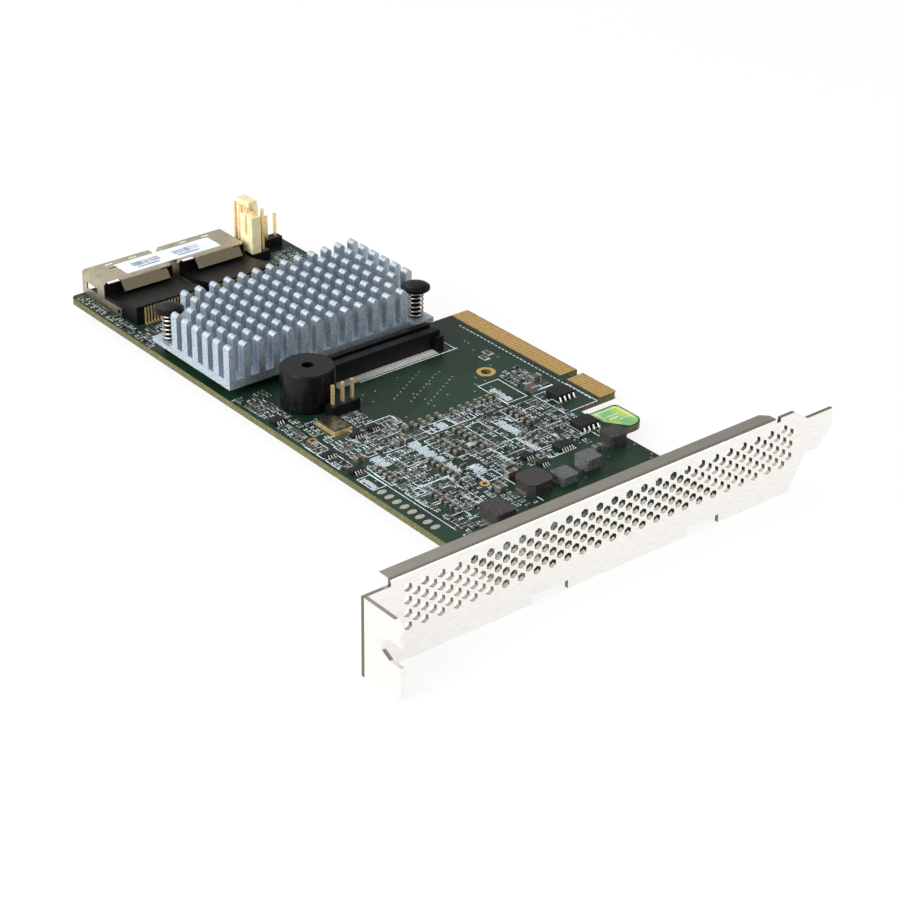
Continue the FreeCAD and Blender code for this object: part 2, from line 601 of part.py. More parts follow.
pinShapes, springShapes = [], []
for x, y in pushPins:
    cx, cy = value(x), value(y)
    shaft, cap = value("pin_shaft / 2"), value("pin_cap / 2")
    capTop, capLow = value("pin_cap_top"), value("pin_cap_top - pin_cap_thick")
    under, tip = -value("board_thick"), -value("board_thick + pin_tip")
    barb = value("pin_barb / 2")
    profile = Part.makePolygon([
        Vector(0, 0, tip), Vector(shaft * 0.55, 0, tip), Vector(barb, 0, under - 0.45),
        Vector(barb, 0, under), Vector(shaft, 0, under), Vector(shaft, 0, capLow),
        Vector(cap - 0.8, 0, capLow), Vector(cap, 0, capLow + 0.5), Vector(cap, 0, capTop - 0.25),
        Vector(cap - 0.3, 0, capTop), Vector(0, 0, capTop), Vector(0, 0, tip)])
    body = Part.Face(profile).revolve(Vector(), Vector(0, 0, 1), 360)
    split = value("pin_split")
    body = body.cut(Part.makeBox(split, 2 * cap, 2.2 + under - tip, Vector(-split / 2, -cap, tip)))
    body.translate(Vector(cx, cy, 0))
    pinShapes.append(body)
    wire = value("spring_wire")
    ring = value("spring_size - spring_wire") / 2
    low = value("ear_level + spring_gap") + wire / 2
    rise = capLow - value("spring_gap") - wire / 2 - low
    springShapes.append(coilSpring(cx, cy, low, ring, wire, rise, value("spring_turns")))
part("push_pins", feature("PushPins", Part.makeCompound(pinShapes)))
part("push_pin_springs", feature("PushPinSprings", Part.makeCompound(springShapes)))

# SAS ports: a folded cage over a moulded block, with two rows of leads behind it.


def sasPort(side, shift):
    x0 = "edge_x + port_in + " + shift
    shell = newBody("Shell" + side.title(), x0, "face_y")
    hoop = sketchOn(shell, side + "Hoop", "XZ_Plane", "-port_front")
    metal, wide, top = "port_metal", "port_width", "port_top"
    polygon(hoop, [
        ("0", "0"), (metal, "0"), (metal, top + " - port_round"), ("port_round", top + " - " + metal),
        (wide + " - port_round", top + " - " + metal), (wide + " - " + metal, top + " - port_round"),
        (wide + " - " + metal, "0"), (wide, "0"), (wide, top + " - port_round * 0.8"),
        (wide + " - port_round * 0.8", top), ("port_round * 0.8", top), ("0", top + " - port_round * 0.8")])
    pad(shell, hoop, "port_rear - port_front", reverse=True)
    strips = sketchOn(shell, side + "Strips", "YZ_Plane")
    polygon(strips, [("strip_front", "0"), ("port_front", "0"), ("port_front", "strip_height"),
                     ("strip_front", "strip_height")])
    pad(shell, strips, metal)
    farStrips = sketchOn(shell, side + "FarStrips", "YZ_Plane", wide + " - " + metal)
    polygon(farStrips, [("strip_front", "0"), ("port_front", "0"), ("port_front", "strip_height"),
                        ("strip_front", "strip_height")])
    pad(shell, farStrips, metal)
    windows = sketchOn(shell, side + "Windows", "YZ_Plane")
    polygon(windows, [("port_rear - 2 - latch_length", "latch_low"), ("port_rear - 2", "latch_low"),
                      ("port_rear - 2", "latch_low + latch_height"),
                      ("port_rear - 2 - latch_length", "latch_low + latch_height")])
    polygon(windows, [("strip_front + 0.4", "0.4"), ("strip_front + 0.4 + strip_window", "0.4"),
                      ("strip_front + 0.4 + strip_window", "strip_height - 0.4"),
                      ("strip_front + 0.4", "strip_height - 0.4")])
    pocket(shell, windows, "port_width", reverse=True)
    vents = sketchOn(shell, side + "Vents", "XY_Plane", top)
    for start in ("port_width * 0.28", "port_width * 0.56"):
        polygon(vents, [(start, "slot_back"), (start + " + slot_length", "slot_back"),
                        (start + " + slot_length", "slot_back + slot_width"), (start, "slot_back + slot_width")])
    pocket(shell, vents, "2 * port_metal")
    flap = sketchOn(shell, side + "Flap", "YZ_Plane", "flap_in")
    polygon(flap, [("port_front", top), ("port_front - 0.5", top + " - 0.15"),
                   ("port_front - flap_reach", top + " - flap_drop"),
                   ("port_front - flap_reach + 0.25", top + " - flap_drop - 0.15"),
                   ("port_front - 0.3", top + " - 0.55"), ("port_front", top + " - " + metal)])
    pad(shell, flap, "flap_width")
    taper = sketchOn(shell, side + "FlapTaper", "XZ_Plane", "0.2 - port_front")
    high, low = top + " - port_metal - 0.1", top + " - flap_drop - 0.5"
    polygon(taper, [("flap_in - 0.5", high), ("flap_in", high), ("flap_in + flap_taper", low),
                    ("flap_in - 0.5", low)])
    polygon(taper, [("flap_in + flap_width", high), ("flap_in + flap_width + 0.5", high),
                    ("flap_in + flap_width + 0.5", low), ("flap_in + flap_width - flap_taper", low)])
    pocket(shell, taper, "flap_reach + 1")
    tabs = sketchOn(shell, side + "Tabs", "XY_Plane", top + " - port_metal")
    for start in ("cage_tab_in", wide + " - cage_tab_in - cage_tab_width"):
        polygon(tabs, [(start, "port_front - cage_tab_reach"),
                       (start + " + cage_tab_width", "port_front - cage_tab_reach"),
                       (start + " + cage_tab_width", "port_front + 0.1"), (start, "port_front + 0.1")])
    pad(shell, tabs, "port_metal")
    part("sas_shell_" + side, shell)

    moulding = newBody("Moulding" + side.title(), x0, "face_y")
    side_gap = "port_metal + block_clear"
    section = sketchOn(moulding, side + "Section", "YZ_Plane", side_gap)
    ceiling = "port_top - port_metal - block_clear"
    polygon(section, [
        ("block_front", "0"), ("port_rear - 0.6", "0"), ("port_rear - 0.6", "block_floor"),
        ("block_rear", "block_floor"), ("block_rear", ceiling), ("port_front + 0.2", ceiling),
        ("port_front + 0.2", "block_low"), ("port_front - flap_reach - 1", "block_low"),
        ("block_front + 1.2", "block_lip"), ("block_front", "block_lip")])
    pad(moulding, section, "port_width - 2 * (%s)" % side_gap)
    last = moulding.Tip
    eased = moulding.newObject("PartDesign::Chamfer", side + "Eased")
    eased.Base = (last, ["Edge%d" % (i + 1) for i, edge in enumerate(moulding.Shape.Edges)
                         if edge.BoundBox.YLength > 1 and abs(edge.BoundBox.ZMin - value(ceiling)) < 1e-5])
    eased.setExpression("Size", full("port_round - port_metal"))
    doc.recompute()
    card = sketchOn(moulding, side + "Card", "XZ_Plane", "-block_rear")
    middle = "block_floor + (port_top - block_floor) / 2"
    polygon(card, [("(port_width - card_width) / 2", middle + " - card_height / 2"),
                   ("(port_width + card_width) / 2", middle + " - card_height / 2"),
                   ("(port_width + card_width) / 2", middle + " + card_height / 2"),
                   ("(port_width - card_width) / 2", middle + " + card_height / 2")])
    pocket(moulding, card, "card_depth", reverse=True)
    part("sas_block_" + side, moulding)

    count, pitch = int(value("port_leads")), value("port_lead_pitch")
    wide_lead, thick, foot = value("port_lead_width"), value("port_lead_thick"), value("port_foot")
    start = value(x0 + " + port_width / 2") - (count - 1) * pitch / 2 - wide_lead / 2
    y = value("face_y + block_front")
    height = value("block_lip - port_lead_drop + port_lead_thick")
    leg = Part.Face(Part.makePolygon([
        Vector(0, y, height), Vector(0, y, 0), Vector(0, y - foot, 0), Vector(0, y - foot, thick),
        Vector(0, y - thick, thick), Vector(0, y - thick, height), Vector(0, y, height)]))
    legs = []
    for i in range(count):
        one = leg.extrude(Vector(wide_lead, 0, 0))
        one.translate(Vector(start + i * pitch, 0, 0))
        legs.append(one)
    part("sas_leads_" + side, feature("Leads" + side.title(), Part.makeCompound(legs)))


sasPort("left", "0")
sasPort("right", "port_pitch")
part("port_label", block("PortLabel", "label_length", "label_depth", "label_thick",
                         "edge_x + label_in", "face_y + label_back", "port_top"))

# Mezzanine connector: a long slotted bar with wider ends and fine gull leads on both sides.
mezz = newBody("MezzBar", "edge_x + mezz_in", "face_y + mezz_back")
bar = sketchOn(mezz, "BarSection", "YZ_Plane")
mid = "mezz_depth / 2"
polygon(bar, [
    ("0", "0"), ("mezz_depth", "0"), ("mezz_depth", "mezz_height"), (mid + " + mezz_slot / 2", "mezz_height"),
    (mid + " + mezz_slot / 2", "mezz_height - mezz_slot_depth"),
    (mid + " + mezz_blade / 2", "mezz_height - mezz_slot_depth"),
    (mid + " + mezz_blade / 2", "mezz_height - mezz_blade_drop"),
    (mid + " - mezz_blade / 2", "mezz_height - mezz_blade_drop"),
    (mid + " - mezz_blade / 2", "mezz_height - mezz_slot_depth"),
    (mid + " - mezz_slot / 2", "mezz_height - mezz_slot_depth"), (mid + " - mezz_slot / 2", "mezz_height"),
    ("0", "mezz_height")])
pad(mezz, bar, "mezz_length")
ends = sketchOn(mezz, "BarEnds", "XY_Plane")
for start in ("0", "mezz_length - mezz_end"):
    polygon(ends, [(start, "-mezz_end_back"), (start + " + mezz_end", "-mezz_end_back"),
                   (start + " + mezz_end", "mezz_depth + mezz_end_back"),
                   (start, "mezz_depth + mezz_end_back")])
pad(mezz, ends, "mezz_end_height")
part("mezzanine_connector", mezz)

count, pitch = int(value("mezz_leads")), value("mezz_pitch")
first = value("edge_x + mezz_in + mezz_length / 2") - (count - 1) * pitch / 2 - value("mezz_lead_width") / 2
near = value("face_y + mezz_back - mezz_foot")
far = value("face_y + mezz_back + mezz_depth")
part("mezzanine_leads", feature("MezzLeads", boxes(
    [Vector(first + i * pitch, y, 0) for y in (near, far) for i in range(count)],
    value("mezz_lead_width"), value("mezz_foot"), value("mezz_lead_thick"))))

# Ivory shunt over the tall header's first two pins.
shunt = block("ShuntBlock", "shunt_width", "2 * header_pitch - 0.2", "shunt_height",
              "edge_x + tall_in - shunt_width / 2", "face_y + tall_back - header_pitch / 2 + 0.1", "header_base")
shuntSlot = block("ShuntSlot", "0.5", "shunt_slot", "shunt_slot_height",
                  "edge_x + tall_in - shunt_width / 2",
                  "face_y + tall_back + header_pitch / 2 - shunt_slot / 2",
                  "header_base + shunt_height - shunt_slot_height")
part("front_shunt", cut("FrontShunt", cut("ShuntNotched", shunt, shuntSlot), parts["tall_header_pins"]))
rearShunt = block("RearShuntBlock", "shunt_width", "2 * header_pitch - 0.2", "rear_shunt_height",
                  "edge_x + tall_in + header_pitch - shunt_width / 2",
                  "face_y + tall_back + 1.5 * header_pitch + 0.1", "header_base")
part("rear_shunt", cut("RearShunt", rearShunt, parts["tall_header_pins"]))

# Crystal: a metal lid seam-welded on a gold-rimmed ceramic base.
part("crystal_base", block("CrystalBase", "crystal_width", "crystal_length", "crystal_base",
                           "edge_x + crystal_in", "face_y + crystal_back"))
part("crystal_lid", block("CrystalLid", "crystal_width - 2 * crystal_rim", "crystal_length - 2 * crystal_rim",
                          "crystal_height - crystal_base", "edge_x + crystal_in + crystal_rim",
                          "face_y + crystal_back + crystal_rim", "crystal_base"))

# Small parts on the component side: kind, in, back, length, width, height of each group.


def placed(entries):
    solids = []
    for inset, back, length, width, height in entries:
        corner = Vector(value("edge_x") + inset - length / 2, value("face_y") + back - width / 2, 0)
        solids.append(Part.makeBox(length, width, height, corner))
    return Part.makeCompound(solids)


def gullChips(name, chips):
    """Small-outline packages; each has a row of bent leads on its front and rear."""
    bodies, legs = [], []
    for inset, back, length, width, height, count, pitch in chips:
        x, y = value("edge_x") + inset, value("face_y") + back
        base = 0.15
        shell = Part.makeBox(length, width, height - base, Vector(x - length / 2, y - width / 2, base))
        bodies.append(shell.makeChamfer(0.18, [e for e in shell.Edges if e.BoundBox.ZMin > height - 0.01]))
        reach, thick, mid = 1.0, 0.15, base + (height - base) / 2
        profile = [(0, mid), (reach * 0.45, 0), (reach, 0), (reach, thick),
                   (reach * 0.55, thick), (0, mid + thick), (0, mid)]
        for sign in (-1, 1):
            face = Part.Face(Part.makePolygon([Vector(0, sign * (width / 2 + dy), dz) for dy, dz in profile]))
            for i in range(count):
                one = face.extrude(Vector(pitch * 0.33, 0, 0))
                one.translate(Vector(x + (i - (count - 1) / 2) * pitch - pitch * 0.165, y, 0))
                legs.append(one)
    part(name + "s", feature(name.title().replace("_", ""), Part.makeCompound(bodies)))
    part(name + "_leads", feature(name.title().replace("_", "") + "Leads", Part.makeCompound(legs)))


gullChips("memory_chip", [(57.8, 54.0, 4.9, 3.9, 1.6, 4, 1.27), (52.8, 40.6, 4.9, 3.9, 1.6, 4, 1.27)])
gullChips("logic_chip", [
    (43.2, 36.6, 3.8, 2.6, 1.0, 5, 0.65), (34.4, 38.0, 2.2, 2.0, 0.9, 3, 0.65),
    (35.2, 33.8, 2.4, 1.6, 0.9, 3, 0.65), (2.9, 54.6, 2.6, 1.7, 1.0, 3, 0.65),
    (2.6, 81.6, 2.6, 2.2, 1.1, 3, 0.65), (2.5, 63.2, 2.4, 1.6, 1.0, 3, 0.65),
    (12.0, 66.4, 2.4, 1.5, 1.0, 3, 0.65), (16.9, 66.9, 2.4, 1.5, 0.9, 3, 0.65)])


def pressedBlocks(entries):
    """Moulded blocks with eased upright corners."""
    solids = []
    for inset, back, length, width, height, ease in entries:
        one = Part.makeBox(length, width, height, Vector(
            value("edge_x") + inset - length / 2, value("face_y") + back - width / 2, 0))
        solids.append(one.makeChamfer(ease, [e for e in one.Edges if e.BoundBox.ZLength > height / 2]))
    return Part.makeCompound(solids)


part("grey_inductors", feature("GreyInductors", pressedBlocks([
    (42.15, 27.7, 4.4, 4.2, 2.5, 0.45), (34.3, 26.1, 4.4, 4.4, 1.9, 0.45)])))
part("dark_inductors", feature("DarkInductors", pressedBlocks([
    (27.3, 27.4, 6.4, 6.2, 2.7, 1.1), (52.6, 31.5, 4.6, 4.4, 2.9, 0.5), (13.5, 22.2, 5.0, 6.0, 3.2, 0.3)])))
part("large_capacitors", feature("LargeCapacitors", placed([
    (26.6, 33.6, 2.5, 1.4, 1.5), (27.9, 36.0, 2.5, 1.4, 1.5), (47.9, 31.2, 2.0, 1.25, 1.2),
    (57.9, 62.6, 2.6, 1.6, 1.4), (54.3, 59.6, 1.6, 2.6, 1.4), (6.2, 57.8, 2.0, 1.25, 1.1),
    (17.2, 58.2, 2.0, 1.25, 1.1), (21.4, 30.6, 2.2, 1.6, 1.2)])))

# Rows of small ceramic capacitors and resistors: start in, start back, step in, step back, count.
rows = [(7.0, 46.0, 0.0, 1.6, 5), (9.6, 29.6, 0.0, 1.6, 6), (24.2, 48.0, 0.0, 1.8, 5),
        (30.0, 46.4, 0.0, 1.8, 6), (44.4, 48.4, 0.0, 1.8, 5), (22.0, 62.6, 2.2, 0.0, 5),
        (34.6, 62.2, 2.2, 0.0, 4),
        (17.6, 40.2, 0.0, 1.7, 6), (42.6, 62.2, 1.8, 0.0, 3), (39.6, 40.0, 0.0, 1.8, 4)]
small = []
for inset, back, stepIn, stepBack, number in rows:
    for i in range(number):
        long, wide = (1.6, 0.8) if stepIn == 0 else (0.8, 1.6)
        small.append((inset + i * stepIn, back + i * stepBack, long, wide, 0.8))
part("small_capacitors", feature("SmallCapacitors", placed(small)))

# Solder side: stacked memory packages and decoupling capacitors.
under = value("-board_thick")
memory = [Vector(value("edge_x + memory_in") + i * value("memory_pitch"), value("face_y") + value(y),
                 under - value("memory_thick"))
          for y in ("memory_front", "memory_back") for i in range(3)]
part("memory_packages", feature("MemoryPackages", boxes(
    memory, value("memory_width"), value("memory_length"), value("memory_thick"))))
capWidth = value("chip_cap_width")
decoupling = [Vector(value("edge_x + chip_cap_in") + i * value("chip_cap_pitch"),
                     value("face_y") + value(y), under - capWidth)
              for y in ("chip_cap_front", "chip_cap_back") for i in range(11)]
part("decoupling_capacitors", feature("Decoupling", boxes(
    decoupling, value("chip_cap_length"), capWidth, capWidth)))

doc.recompute()
for item in doc.Objects:
    if "Invalid" in item.State or "Error" in item.State:
        raise RuntimeError("failed object: %s %s" % (item.Name, item.State))
os.makedirs("parts", exist_ok=True)
for node, item in parts.items():
    shape = item.Shape
    if shape.isNull() or not shape.isValid():
        raise RuntimeError("bad shape: " + node)
for node, item in parts.items():
    item.Shape.exportStep("parts/%s.step" % node)
print(len(parts), "nodes")
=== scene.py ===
import math
import random

import bpy
from mathutils import Matrix, Vector


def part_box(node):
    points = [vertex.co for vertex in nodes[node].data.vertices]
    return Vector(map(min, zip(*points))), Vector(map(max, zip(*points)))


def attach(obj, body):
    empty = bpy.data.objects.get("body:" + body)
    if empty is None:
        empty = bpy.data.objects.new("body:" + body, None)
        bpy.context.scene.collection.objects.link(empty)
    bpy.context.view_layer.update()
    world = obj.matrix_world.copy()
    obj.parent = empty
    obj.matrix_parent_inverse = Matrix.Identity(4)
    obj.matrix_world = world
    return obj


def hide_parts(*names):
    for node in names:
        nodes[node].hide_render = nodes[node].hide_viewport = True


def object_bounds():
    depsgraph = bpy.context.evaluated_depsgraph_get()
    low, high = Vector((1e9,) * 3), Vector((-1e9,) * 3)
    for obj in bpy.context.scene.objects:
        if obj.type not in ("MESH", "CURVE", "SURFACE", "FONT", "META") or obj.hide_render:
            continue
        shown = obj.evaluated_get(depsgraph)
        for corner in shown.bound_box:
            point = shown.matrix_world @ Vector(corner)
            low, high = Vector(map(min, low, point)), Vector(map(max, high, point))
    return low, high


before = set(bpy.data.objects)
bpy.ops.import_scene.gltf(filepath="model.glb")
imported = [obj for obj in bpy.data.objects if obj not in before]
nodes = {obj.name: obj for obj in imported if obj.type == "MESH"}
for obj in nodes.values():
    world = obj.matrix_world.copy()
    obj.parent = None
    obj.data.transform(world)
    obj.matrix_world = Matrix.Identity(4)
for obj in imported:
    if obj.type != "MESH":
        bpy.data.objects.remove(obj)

cadBox = [list(corner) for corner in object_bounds()]
mm = 0.001
scene = bpy.context.scene
scene.view_settings.view_transform = "Standard"
print("frame loaded:", len(nodes), "nodes")

# Places on the board are (across, along) in mm: from its long plain edge and from the bracket.
board = {"length": 161.2, "under": -1.57}
boardLow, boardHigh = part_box("circuit_board")


def spot(across, along, z=0.0):
    return (boardLow[0] + across * mm, boardHigh[1] - (board["length"] - along) * mm, z * mm)


def linear(code):
    # sRGB hex to the linear values that shaders take
    out = []
    for i in (1, 3, 5):
        c = int(code[i:i + 2], 16) / 255
        out.append(c / 12.92 if c <= 0.04045 else ((c + 0.055) / 1.055) ** 2.4)
    return (*out, 1.0)


def addNode(tree, kind, inputs=None, stops=(), **settings):
    # inputs: sockets to link or values to set; stops: (place, sRGB hex) for a colour ramp
    node = tree.nodes.new(kind)
    for name, setting in settings.items():
        setattr(node, name, setting)
    for name, source in (inputs or {}).items():
        if isinstance(source, bpy.types.NodeSocket):
            tree.links.new(source, node.inputs[name])
        else:
            node.inputs[name].default_value = source
    for i, (place, colour) in enumerate(stops):
        element = node.color_ramp.elements[i] if i < 2 else node.color_ramp.elements.new(place)
        element.position = place
        element.color = linear(colour)
    return node


def newMaterial(name, colour, roughness=0.5, metallic=0.0, **sockets):
    material = bpy.data.materials.new(name)
    material.use_nodes = True
    tree = material.node_tree
    shader = tree.nodes["Principled BSDF"]
    shader.inputs["Base Color"].default_value = linear(colour)
    shader.inputs["Roughness"].default_value = roughness
    shader.inputs["Metallic"].default_value = metallic
    for socket, setting in sockets.items():
        shader.inputs[socket.replace("_", " ")].default_value = setting
    material.diffuse_color = linear(colour)
    return material, tree, shader


def grained(name, colour, second, roughness, metallic=0.0, blotch=2.0, grain=0.2, depth=0.004,
            stretch=(1, 1, 1), **sockets):
    # Two tones in blotches, a gloss that wanders and fine relief; blotch, grain and depth are in mm.
    # stretch above 1 packs the pattern closer along that axis, which draws streaks across it.
    material, tree, shader = newMaterial(name, colour, roughness, metallic, **sockets)
    place = addNode(tree, "ShaderNodeTexCoord")
    drawn = addNode(tree, "ShaderNodeMapping", {"Vector": place.outputs["Object"], "Scale": stretch})
    cloud = addNode(tree, "ShaderNodeTexNoise", {
        "Vector": drawn.outputs["Vector"], "Scale": 1 / (blotch * mm), "Detail": 3.0})
    tones = addNode(tree, "ShaderNodeValToRGB", {"Fac": cloud.outputs["Fac"]},
                    stops=[(0.38, second), (0.62, colour)])
    tree.links.new(tones.outputs["Color"], shader.inputs["Base Color"])
    fine = addNode(tree, "ShaderNodeTexNoise", {
        "Vector": drawn.outputs["Vector"], "Scale": 1 / (grain * mm), "Detail": 2.0})
    gloss = addNode(tree, "ShaderNodeMapRange", {
        "Value": fine.outputs["Fac"], "To Min": roughness - 0.07, "To Max": roughness + 0.07})
    tree.links.new(gloss.outputs["Result"], shader.inputs["Roughness"])
    relief = addNode(tree, "ShaderNodeBump", {
        "Height": fine.outputs["Fac"], "Distance": depth * mm, "Strength": 1.0})
    tree.links.new(relief.outputs["Normal"], shader.inputs["Normal"])
    return material


# Real tracks lie about 0.25 mm apart; trackPitch draws them coarser, or they would not show.
laminate = {"copper": "#152e1f", "gap": "#0a1a11", "edgeLight": "#646239", "edgeDark": "#3f3e22",
            "trackPitch": 0.62, "areaSize": 16.0, "weave": 0.55, "layer": 0.4, "trackHeight": 0.02,
            "waveRepeat": 0.31}


def solderMask():
    # Dark green mask, printed and cured: copper areas and track bundles show through it a shade lighter.
    # The routed edges are bare olive laminate.
    material, tree, shader = newMaterial("solderMaskOnLaminate", laminate["copper"], 0.36,
                                         Specular_IOR_Level=0.24)
    place = addNode(tree, "ShaderNodeTexCoord").outputs["Object"]
    tracks = addNode(tree, "ShaderNodeTexWave", {
        "Vector": place, "Scale": laminate["waveRepeat"] / (laminate["trackPitch"] * mm),
        "Distortion": 5.0, "Detail": 0.0, "Detail Scale": 0.2},
        wave_type="BANDS", bands_direction="DIAGONAL")
    areas = addNode(tree, "ShaderNodeTexNoise", {
        "Vector": place, "Scale": 1 / (laminate["areaSize"] * mm), "Detail": 0.0})
    poured = addNode(tree, "ShaderNodeMath", {
        0: areas.outputs["Fac"], 1: 0.5}, operation="GREATER_THAN")
    line = addNode(tree, "ShaderNodeMath", {
        0: tracks.outputs["Fac"], 1: 0.45}, operation="GREATER_THAN")
    copper = addNode(tree, "ShaderNodeMath", {
        0: poured.outputs[0], 1: line.outputs[0]}, operation="MAXIMUM")
    green = addNode(tree, "ShaderNodeValToRGB", {"Fac": copper.outputs[0]},
                    stops=[(0.0, laminate["gap"]), (1.0, laminate["copper"])])
    layers = addNode(tree, "ShaderNodeTexNoise", {
        "Vector": place, "Scale": 1 / (laminate["layer"] * mm)})
    bare = addNode(tree, "ShaderNodeValToRGB", {"Fac": layers.outputs["Fac"]},
                   stops=[(0.35, laminate["edgeDark"]), (0.65, laminate["edgeLight"])])
    normal = addNode(tree, "ShaderNodeSeparateXYZ", {
        "Vector": addNode(tree, "ShaderNodeNewGeometry").outputs["Normal"]})
    tilt = addNode(tree, "ShaderNodeMath", {0: normal.outputs["Z"]}, operation="ABSOLUTE")
    flat = addNode(tree, "ShaderNodeMath", {0: tilt.outputs[0], 1: 0.5}, operation="GREATER_THAN")
    mixed = addNode(tree, "ShaderNodeMix", {
        0: flat.outputs[0], 6: bare.outputs["Color"], 7: green.outputs["Color"]}, data_type="RGBA")
    tree.links.new(mixed.outputs[2], shader.inputs["Base Color"])
    weave = addNode(tree, "ShaderNodeTexNoise", {
        "Vector": place, "Scale": 1 / (laminate["weave"] * mm), "Detail": 2.0})
    relief = addNode(tree, "ShaderNodeBump", {
        "Height": copper.outputs[0], "Distance": laminate["trackHeight"] * mm, "Strength": 0.35})
    gloss = addNode(tree, "ShaderNodeMapRange", {
        "Value": weave.outputs["Fac"], "To Min": 0.28, "To Max": 0.46})
    tree.links.new(gloss.outputs["Result"], shader.inputs["Roughness"])
    tree.links.new(relief.outputs["Normal"], shader.inputs["Normal"])
    return material


# Rolling lines are finer than 0.1 mm on real sheet; here they lie lineGap / lineFine apart, so they show.
# After the second tone come two painted shades: a dull dark one for hole walls and sheared edges, and a grey
# one for faces that look up.
steel = {"plate": "#fbf9f5", "second": "#efece5", "holeWallShade": "#77736a", "upwardShadeColour": "#a39e92", "thick": 0.86,
         "lineGap": 3.0, "lineFine": 14}


def rolledSteel():
    # Bright nickel over rolled steel: near-white with faint rolling lines.
    # Punched holes and sheared edges get a painted shade, dull and dark, and faces that look up get a
    # painted shade too.
    material, tree, shader = newMaterial("nickelPlatedSteel", steel["plate"], 0.3, 1.0)
    point = addNode(tree, "ShaderNodeNewGeometry")
    normal = addNode(tree, "ShaderNodeSeparateXYZ", {"Vector": point.outputs["Normal"]})
    place = addNode(tree, "ShaderNodeSeparateXYZ", {"Vector": point.outputs["Position"]})
    # Painted shade: faces across the sheet, inside its thickness, such as hole walls and sheared edges, take
    # a dull dark colour.
    turned = addNode(tree, "ShaderNodeMath", {0: normal.outputs["Y"]}, operation="ABSOLUTE")
    across = addNode(tree, "ShaderNodeMath", {0: turned.outputs[0], 1: 0.5}, operation="LESS_THAN")
    inSheet = addNode(tree, "ShaderNodeMath", {
        0: place.outputs["Y"], 1: spot(0, steel["thick"] / 2)[1], 2: steel["thick"] * 0.51 * mm},
        operation="COMPARE")
    shadedWalls = addNode(tree, "ShaderNodeMath", {
        0: across.outputs[0], 1: inSheet.outputs[0]}, operation="MULTIPLY")
    drawn = addNode(tree, "ShaderNodeMapping", {
        "Vector": point.outputs["Position"], "Scale": (1, 1, steel["lineFine"])})
    lines = addNode(tree, "ShaderNodeTexNoise", {
        "Vector": drawn.outputs["Vector"], "Scale": 1 / (steel["lineGap"] * mm), "Detail": 4.0})
    tones = addNode(tree, "ShaderNodeValToRGB", {"Fac": lines.outputs["Fac"]},
                    stops=[(0.35, steel["second"]), (0.6, steel["plate"])])
    mixed = addNode(tree, "ShaderNodeMix", {
        0: shadedWalls.outputs[0], 6: tones.outputs["Color"], 7: linear(steel["holeWallShade"])}, data_type="RGBA")
    # Painted shade: faces that look up, such as the top of the flange, take a darker grey.
    upward = addNode(tree, "ShaderNodeMapRange", {
        "Value": normal.outputs["Z"], "From Min": 0.4, "From Max": 0.9, "To Max": 0.85})
    upwardShade = addNode(tree, "ShaderNodeMix", {
        0: upward.outputs["Result"], 6: mixed.outputs[2], 7: linear(steel["upwardShadeColour"])}, data_type="RGBA")
    tree.links.new(upwardShade.outputs[2], shader.inputs["Base Color"])
    gloss = addNode(tree, "ShaderNodeMapRange", {
        "Value": lines.outputs["Fac"], "To Min": 0.26, "To Max": 0.36})
    tree.links.new(gloss.outputs["Result"], shader.inputs["Roughness"])
    return material


# Drawing lines, lineGap / lineFine apart: coarser than real ones, so they show.
# The darkest colour is a painted dark reflection for the flaps that lean towards the bracket.
cageSheet = {"sheet": "#c6bda6", "second": "#aaa18b", "flap": "#6d6552", "lineGap": 1.6, "lineFine": 7}


def nickelSilver():
    # Nickel silver, stamped from drawn sheet: warm grey with faint lines.
    # Flaps bent towards the bracket get a painted reflection: they are coloured dark, as if showing the dark
    # surroundings they face.
    material, tree, shader = newMaterial("nickelSilverSheet", cageSheet["sheet"], 0.4, 1.0)
    point = addNode(tree, "ShaderNodeNewGeometry")
    drawn = addNode(tree, "ShaderNodeMapping", {
        "Vector": point.outputs["Position"], "Scale": (1, cageSheet["lineFine"], 1)})
    lines = addNode(tree, "ShaderNodeTexNoise", {
        "Vector": drawn.outputs["Vector"], "Scale": 1 / (cageSheet["lineGap"] * mm), "Detail": 4.0})
    tones = addNode(tree, "ShaderNodeValToRGB", {"Fac": lines.outputs["Fac"]},
                    stops=[(0.36, cageSheet["second"]), (0.62, cageSheet["sheet"])])
    normal = addNode(tree, "ShaderNodeSeparateXYZ", {"Vector": point.outputs["Normal"]})
    # Painted reflection: the more a face leans towards the bracket, the more it takes the dark flap colour.
    lean = addNode(tree, "ShaderNodeMapRange", {
        "Value": normal.outputs["Y"], "From Min": -0.25, "From Max": -0.75, "To Max": 0.9})
    mixed = addNode(tree, "ShaderNodeMix", {
        0: lean.outputs["Result"], 6: tones.outputs["Color"],
        7: linear(cageSheet["flap"])}, data_type="RGBA")
    tree.links.new(mixed.outputs[2], shader.inputs["Base Color"])
    gloss = addNode(tree, "ShaderNodeMapRange", {
        "Value": lines.outputs["Fac"], "To Min": 0.3, "To Max": 0.48})
    tree.links.new(gloss.outputs["Result"], shader.inputs["Roughness"])
    return material


